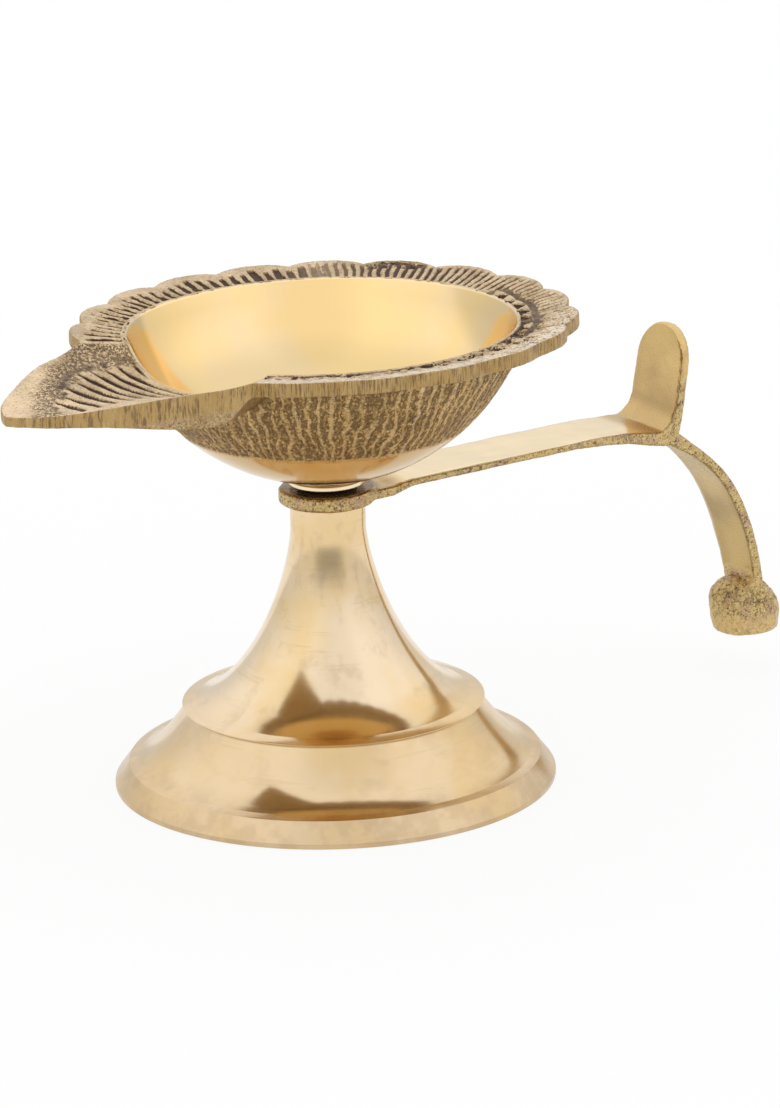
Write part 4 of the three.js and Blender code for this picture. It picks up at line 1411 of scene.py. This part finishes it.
def handle_casting():
    """The tree that roughens the handle's edges and pits its foot, and stores where it did"""
    g = GeometryGraph("handle_casting", (
        "Pit depth", "Eye radius", "Foot place", "Foot top", "Thumb reach"))
    x, y, z = g.parts(g.position)
    normal = g.make("GeometryNodeInputNormal")
    nx, ny, nz = g.parts(normal)
    from_eye = g.sum("SQRT", x * x + y * y) - g.size("Eye radius")
    from_rest = x - g.size("Thumb reach")
    from_foot = z - g.size("Foot top")
    edges = abs(ny).ramp(0.45, 0.85)
    eye = from_eye.ramp_mm(0.6, 0) * abs(nz).ramp(0.8, 0.4)
    # Painted shade: the eye's top face round its edge is darkened through the cut number, towards the
    # lacquer colour
    eye_top_shade = from_eye.ramp_mm(3, -0.5) * nz.ramp(0.5, 0.9)
    foot = (x - g.size("Foot place")).ramp_mm(-6.5, -5.5) * from_foot.ramp_mm(2, 0)
    tail = from_rest.ramp_mm(2, 4) * z.ramp_mm(47, 44)
    outer = tail * nx.ramp(0.1, 0.5)
    # Faces that look down: part of the rough edge colour, a painted shade
    below = nz.ramp(-0.5, -0.85)
    thumb = z.ramp_mm(52, 56)
    # The rough number also holds painted shade on the faces that look down
    rough = (edges * (1.0 - thumb * 0.85)).most(eye).most(foot).most(outer * 0.6).most(below * 0.5)
    crease = g.noise(g.position, 340.0, 2.0, 0.6)
    crevice = abs(crease - 0.5).ramp(0.05, 0.015) * foot * from_foot.ramp_mm(-5.2, -3)
    crevice = crevice * from_foot.ramp_mm(-0.6, -1.6)
    coarse = g.noise(g.position, 330.0, 3.0, 0.6)
    fine = g.noise(g.position, 1100.0, 2.0, 0.6)
    lumps = g.noise(g.position, 150.0, 2.0, 0.5)
    foot_low = foot * from_foot.ramp_mm(-5.2, -6.2)
    rough = rough * (1.0 - foot_low * 0.5)
    height = ((coarse - 0.5) * (0.7 + foot * 1.1) + (fine - 0.5) * 0.8) * rough * g.size("Pit depth")
    height = height + ((lumps - 0.5) * (0.3 + foot * 0.4) - crevice * 0.3) * MM
    # Painted highlight: the bar's faces that look up, away from the eye and the thumb rest, get a paler
    # colour
    bar_top = nz.ramp(0.9, 0.98) * from_rest.ramp_mm(-5.5, -9) * from_eye.ramp_mm(2, 6)
    # Painted shade on the tail's inner face
    flank = tail * (1.0 - foot) * (0.65 + 0.35 * y.ramp_mm(1, 4)) * nx.ramp(0.2, -0.2)
    # The eye's top takes its dark colour here: painted shade
    cut = (eye_top_shade * 0.75).most(crevice * 0.7).most(foot * coarse.ramp(0.42, 0.3) * 0.7)
    shaped = g.store(rough=rough, buffed=bar_top, flank=flank, cut=cut)
    g.end(g.shift(shaped, g.scaled(normal, height)))
    return g


def tooth_ring():
    """The tree that sets the lock washer's teeth round its hole"""
    g = GeometryGraph("lock_teeth", ("Teeth", "Tooth depth", "Hole radius", "Thickness", "Height"))
    tooth = g.make("GeometryNodeMeshCube", None, {"Size": g.vector(
        g.size("Tooth depth") * 1.4, g.size("Hole radius") * 0.34, g.size("Thickness"))})
    ring = g.make("GeometryNodeMeshCircle", None, {
        "Vertices": g.size("Teeth"), "Radius": g.size("Hole radius") + g.size("Tooth depth") * 0.55})
    x, y, _ = g.parts(g.position)
    turn = g.sum("ARCTAN2", y, x)
    placed = g.make("GeometryNodeInstanceOnPoints", None, {
        "Points": ring, "Instance": tooth, "Rotation": g.vector(0.0, 0.3, turn)})
    lifted = g.make("GeometryNodeTransform", None, {
        "Geometry": placed, "Translation": g.vector(0.0, 0.0, g.size("Height"))})
    both = g.make("GeometryNodeJoinGeometry", None, {0: lifted})
    g.tree.links.new(g.source.socket, both.socket.node.inputs[0])
    g.end(both)
    return g


class LAMP_OT_stage(bpy.types.Operator):
    """Sets up the camera, the floor, the lights and the world"""

    bl_idname = "lamp.stage"
    bl_label = "Stage"

    def execute(self, context):
        s = context.scene.lamp_stage
        scene = context.scene
        scene.view_settings.view_transform = "Standard"
        camera = bpy.data.objects.new("camera", bpy.data.cameras.new("camera"))
        camera.data.lens = s.lens
        camera.data.sensor_fit = "VERTICAL"
        camera.data.sensor_height = 36
        camera.data.clip_end = 20
        camera.matrix_world = (Matrix.Translation(s.camera_place)
                               @ Matrix.Rotation(s.camera_heading, 4, "Z")
                               @ Matrix.Rotation(math.pi / 2 - s.camera_pitch, 4, "X")
                               @ Matrix.Rotation(s.camera_roll, 4, "Z"))
        scene.collection.objects.link(camera)
        scene.camera = camera
        self.make_floor(scene, s)
        self.make_world(scene)
        self.make_lights(scene)
        return {"FINISHED"}

    def make_floor(self, scene, s):
        half = s.floor_size / 2
        outline = ((-half, -half), (half, -half), (half, half), (-half, half))
        mesh = bpy.data.meshes.new("floor")
        mesh.from_pydata([(x, y, -FLOOR_DROP) for x, y in outline], [], [(0, 1, 2, 3)])
        floor = bpy.data.objects.new("floor", mesh)
        scene.collection.objects.link(floor)
        material, graph = new_material("floor_paper")
        place = graph.coordinates()
        distance = graph.make("ShaderNodeVectorMath", {"operation": "LENGTH"}, {0: place}, "Value")
        paper = graph.make("ShaderNodeBsdfDiffuse", None, {"Color": tuple(s.floor_colour)})
        white = graph.make("ShaderNodeEmission", None, {"Color": (1.0, 1.0, 1.0), "Strength": 1.0})
        path = graph.make("ShaderNodeLightPath")
        seen = path.most(path.other("Is Transmission Ray")) * (0.88 + 0.12 * distance.ramp(0.06, 0.3))
        bare = seen.most(path.other("Is Glossy Ray") * (0.5 + 0.5 * distance.ramp(0.05, 0.5)))
        both = graph.make("ShaderNodeMixShader", None, {0: bare, 1: paper, 2: white})
        graph.make("ShaderNodeOutputMaterial", None, {"Surface": both})
        mesh.materials.append(material)

    def make_world(self, scene):
        world = bpy.data.worlds.new("studio")
        world.use_nodes = True
        world.node_tree.nodes.clear()
        scene.world = world
        graph = Graph(world.node_tree)
        x, y, z = graph.parts(graph.coordinates("Generated"))
        path = graph.make("ShaderNodeLightPath")
        dark = 0.0
        for toward, width, strength, highest in STUDIO_DARKS:
            toward = Vector(toward).normalized()
            near = x * toward.x + y * toward.y + z * toward.z
            spot = near.ramp(math.cos(width), math.cos(width * 0.15)) * strength
            spot = spot * z.ramp(highest, highest - 0.2)
            dark = spot.most(dark)
        level = (0.76 + 0.34 * z.ramp(0.0, 0.6)) * (1.0 - dark)
        studio = graph.make("ShaderNodeBackground", None, {"Color": (1.0, 1.0, 1.0), "Strength": level})
        white = graph.make("ShaderNodeBackground", None, {"Color": (1.0, 1.0, 1.0), "Strength": 1.0})
        seen = path.most(path.other("Is Transmission Ray"))
        both = graph.make("ShaderNodeMixShader", None, {0: seen, 1: studio, 2: white})
        graph.make("ShaderNodeOutputWorld", None, {"Surface": both})

    def make_lights(self, scene):
        for name, place, size, power in STAGE_LIGHTS:
            light = bpy.data.lights.new(name, "AREA")
            light.size = size
            light.energy = power
            lamp = bpy.data.objects.new(name, light)
            lamp.visible_glossy = False
            lamp.location = place
            lamp.rotation_euler = (STAGE_MIDDLE - Vector(place)).to_track_quat("-Z", "Y").to_euler()
            scene.collection.objects.link(lamp)


class LAMP_OT_stand(bpy.types.Operator):
    """Turns the stand, with its neck, its cone, its band and its hollow"""

    bl_idname = "lamp.stand"
    bl_label = "Stand"

    def execute(self, context):
        s = context.scene.lamp_stand_sizes
        piece = turned("turned_stand", stand_profile(s), s.steps)
        piece.data.materials.append(polished_brass(context.scene.lamp_colours))
        finish_piece(piece, "stand", ["stand"], 40)
        return {"FINISHED"}


class LAMP_OT_bowl(bpy.types.Operator):
    """Makes the well with its petalled rim and spout, and the ribbed shell under it"""

    bl_idname = "lamp.bowl"
    bl_label = "Bowl"

    def execute(self, context):
        sizes, cuts = context.scene.lamp_bowl_sizes, context.scene.lamp_carving_sizes
        colours = context.scene.lamp_colours
        form = BowlForm(sizes)
        rim = new_piece("petalled_rim", *rim_mesh(form, cuts.cut_slant))
        carved = {"Rim cuts": float(cuts.tooth_count), "Rim cut end": cuts.tooth_end,
                  "Fine cuts": float(cuts.fine_count), "Cut slant": cuts.cut_slant,
                  "Zigzag": float(cuts.zigzag_count),
                  "Vein pitch": cuts.vein_pitch, "Grain size": cuts.grain_size,
                  "Petal arc": TURN - sizes.spout_angle, "Spout arc": sizes.spout_angle}
        rim_carving(carved).apply(rim, carved_brass(colours, carved), {
            **carved, "Rim cut depth": cuts.tooth_depth, "Vein depth": cuts.vein_depth,
            "Grain depth": cuts.grain_depth, "Filed height": sizes.filed_height})
        finish_piece(rim, "bowl", ["bowl"])
        shell = new_piece("ribbed_shell", *shell_mesh(form))
        ribbed = {"Ribs": float(cuts.rib_count), "Grain size": cuts.grain_size,
                  "Band bottom": cuts.band_bottom}
        shell_carving(ribbed).apply(shell, ribbed_brass(colours, ribbed), {
            **ribbed, "Rib depth": cuts.rib_depth})
        finish_piece(shell, "bowl", sharp=50)
        return {"FINISHED"}


class LAMP_OT_handle(bpy.types.Operator):
    """Casts the handle: eye, bar, thumb rest, tail and button foot as one piece"""

    bl_idname = "lamp.handle"
    bl_label = "Handle"

    def execute(self, context):
        s = context.scene.lamp_handle_sizes
        bar_top = HANDLE_EYE_TOP - s.bar_top_drop
        foot_top = HANDLE_LOW.z + s.foot_height
        foot_place = s.thumb_reach + s.tail_reach
        eye_low, eye_bevel = STAND_HIGH.z, 0.2 * MM
        eye = [(0, eye_low), (s.eye_radius - eye_bevel, eye_low),
               (s.eye_radius, eye_low + eye_bevel), (s.eye_radius, HANDLE_EYE_TOP - eye_bevel),
               (s.eye_radius - eye_bevel, HANDLE_EYE_TOP), (0, HANDLE_EYE_TOP)]
        foot, foot_faces = spun_mesh(foot_profile(s), 48)
        shoulder = smooth((foot[:, 2] - HANDLE_LOW.z - s.foot_waist) / (s.foot_height - s.foot_waist))
        foot = foot + np.array([foot_place, 0, 0])
        foot = foot + shoulder[:, None] * np.array([-s.foot_shift, s.foot_shift / 2, 0])
        points, faces = joined([
            spun_mesh(eye, 96),
            strip_mesh(bar_stations(s, bar_top) + tail_stations(s, bar_top, foot_top)),
            strip_mesh(thumb_stations(s, bar_top)),
            (foot, foot_faces)])
        piece = new_piece("cast_handle", sagged(points, s, bar_top), faces)
        piece.modifiers.new("cast", "REMESH").mode = "VOXEL"
        piece.modifiers["cast"].voxel_size = s.grain
        keep_shape(piece)
        below, above = eye_low - 2 * MM, HANDLE_EYE_TOP + 2 * MM
        drill_outline = [(0, below), (s.bore_radius, below), (s.bore_radius, above), (0, above)]
        drill = new_piece("drill", *spun_mesh(drill_outline, 64))
        cut = piece.modifiers.new("bore", "BOOLEAN")
        cut.operation, cut.object, cut.solver = "DIFFERENCE", drill, "MANIFOLD"
        soft = piece.modifiers.new("soft", "SMOOTH")
        soft.factor, soft.iterations = 0.5, 3
        keep_shape(piece)
        bpy.data.objects.remove(drill)
        handle_casting().apply(piece, cast_brass(context.scene.lamp_colours), {
            "Pit depth": s.pit_depth, "Eye radius": s.eye_radius, "Foot place": foot_place,
            "Foot top": foot_top, "Thumb reach": s.thumb_reach})
        piece.data.transform(Matrix.Rotation(s.turn, 4, "Z"))
        finish_piece(piece, "handle", ["handle"])
        return {"FINISHED"}


class LAMP_OT_fasteners(bpy.types.Operator):
    """Makes the collar, the lock washer, the stud, the nut and the flat washer"""

    bl_idname = "lamp.fasteners"
    bl_label = "Fasteners"

    def execute(self, context):
        s, colours = context.scene.lamp_fastener_sizes, context.scene.lamp_colours
        steel = steel_finish("plated_steel", colours.steel, colours.steel_blotch, 0.28)
        collar = flat_ring("bright_collar", COLLAR_LOW, COLLAR_HIGH, BORE_RADIUS, s.collar_bevel, 128)
        collar.data.materials.append(bright_brass(colours))
        finish_piece(collar, "collar", ["collar_washer"], 40)
        washer = flat_ring("flat_washer", WASHER_LOW, WASHER_HIGH, BORE_RADIUS, s.washer_bevel, 96)
        washer.data.materials.append(steel)
        finish_piece(washer, "stand", ["plain_washer"], 40)
        self.lock_washer(s, colours)
        self.stud(s, steel)
        self.nut(s, steel)
        return {"FINISHED"}

    def lock_washer(self, s, colours):
        hole = BORE_RADIUS + s.lock_tooth
        ring = flat_ring("toothed_washer", LOCK_LOW, LOCK_HIGH, hole, s.lock_bevel, 96)
        # The lock washer's near-black colour is painted shade for the gap under the collar
        dark = steel_finish("dark_steel", colours.dark_steel, colours.steel_blotch, 0.35)
        tooth_ring().apply(ring, dark, {
            "Teeth": s.lock_teeth, "Tooth depth": s.lock_tooth, "Hole radius": BORE_RADIUS,
            "Thickness": (LOCK_HIGH.z - LOCK_LOW.z) * 0.7, "Height": (LOCK_HIGH.z + LOCK_LOW.z) / 2})
        finish_piece(ring, "stand", ["lock_washer"], 40)

    def stud(self, s, steel):
        """A rod with a thread that runs up it as one helix"""
        columns, per_turn = 32, 8
        rows = int((STUD_HIGH.z - STUD_LOW.z) / s.thread_pitch * per_turn)
        z = mix(STUD_LOW.z, STUD_HIGH.z, np.arange(rows + 1) / rows)[:, None]
        around = np.arange(columns) / columns
        phase = (z / s.thread_pitch - around) % 1
        depth = s.thread_depth * (1 - np.abs(2 * phase - 1))
        to_end = np.minimum(z - STUD_LOW.z, STUD_HIGH.z - z)
        radius = np.minimum(STUD_RADIUS - depth, STUD_RADIUS - s.stud_point + to_end)
        net = round_axis(radius, TURN * around, z)
        piece = new_piece("threaded_stud", *capped(net, (0, 0, STUD_LOW.z), (0, 0, STUD_HIGH.z)))
        piece.data.materials.append(steel)
        finish_piece(piece, "stand", ["stud"], 35)

    def nut(self, s, steel):
        """A hexagon whose corners are turned off by a cone at both faces"""
        flats = NUT_HIGH.y - NUT_LOW.y
        corner = NUT_HIGH.x - NUT_LOW.x
        half_flats = min(flats, corner) / 2
        turn = np.arange(96) * TURN / 96
        start = 0.0 if corner > flats else TURN / 12
        to_flat = np.abs((turn - start + TURN / 12) % (TURN / 6) - TURN / 12)
        hexagon = half_flats / np.cos(TURN / 12 - to_flat)
        face = half_flats - s.nut_face
        below = [(BORE_RADIUS, 0), (face, 0)]
        for t in (0.25, 0.5, 0.75, 1.0):
            below.append((np.minimum(hexagon, face + t * s.nut_cone_width), t * s.nut_cone_height))
        rows = [(r, NUT_LOW.z + up) for r, up in below]
        rows += [(r, NUT_HIGH.z - up) for r, up in below[::-1]]
        piece = ring_piece("hexagon_nut", np.stack([round_axis(r, turn, z) for r, z in rows]))
        piece.data.materials.append(steel)
        finish_piece(piece, "stand", ["hex_nut"], 30)


class LAMP_PT_panel(bpy.types.Panel):
    """Lists the lamp's pieces and their sizes"""

    bl_idname = "LAMP_PT_panel"
    bl_label = "Oil lamp"
    bl_space_type = "VIEW_3D"
    bl_region_type = "UI"
    bl_category = "Oil lamp"

    def draw(self, context):
        for operator in OPERATORS:
            self.layout.operator(operator.bl_idname)
        for name in SETTINGS:
            group = getattr(context.scene, name)
            box = self.layout.box()
            for prop in group.__annotations__:
                box.prop(group, prop)


SETTINGS = {
    "lamp_stage": StageSettings,
    "lamp_stand_sizes": StandSizes,
    "lamp_bowl_sizes": BowlSizes,
    "lamp_carving_sizes": CarvingSizes,
    "lamp_handle_sizes": HandleSizes,
    "lamp_fastener_sizes": FastenerSizes,
    "lamp_colours": BrassColours,
}
OPERATORS = (LAMP_OT_stage, LAMP_OT_stand, LAMP_OT_handle, LAMP_OT_fasteners, LAMP_OT_bowl)


def register():
    for kind in (*SETTINGS.values(), *OPERATORS, LAMP_PT_panel):
        bpy.utils.register_class(kind)
    for name, kind in SETTINGS.items():
        setattr(bpy.types.Scene, name, bpy.props.PointerProperty(type=kind))


def unregister():
    for name in SETTINGS:
        delattr(bpy.types.Scene, name)
    for kind in (LAMP_PT_panel, *reversed(OPERATORS), *reversed(SETTINGS.values())):
        bpy.utils.unregister_class(kind)


def main():
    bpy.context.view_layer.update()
    register()
    for operator in OPERATORS:
        group, name = operator.bl_idname.split(".")
        getattr(getattr(bpy.ops, group), name)()


if __name__ == "__main__":
    main()
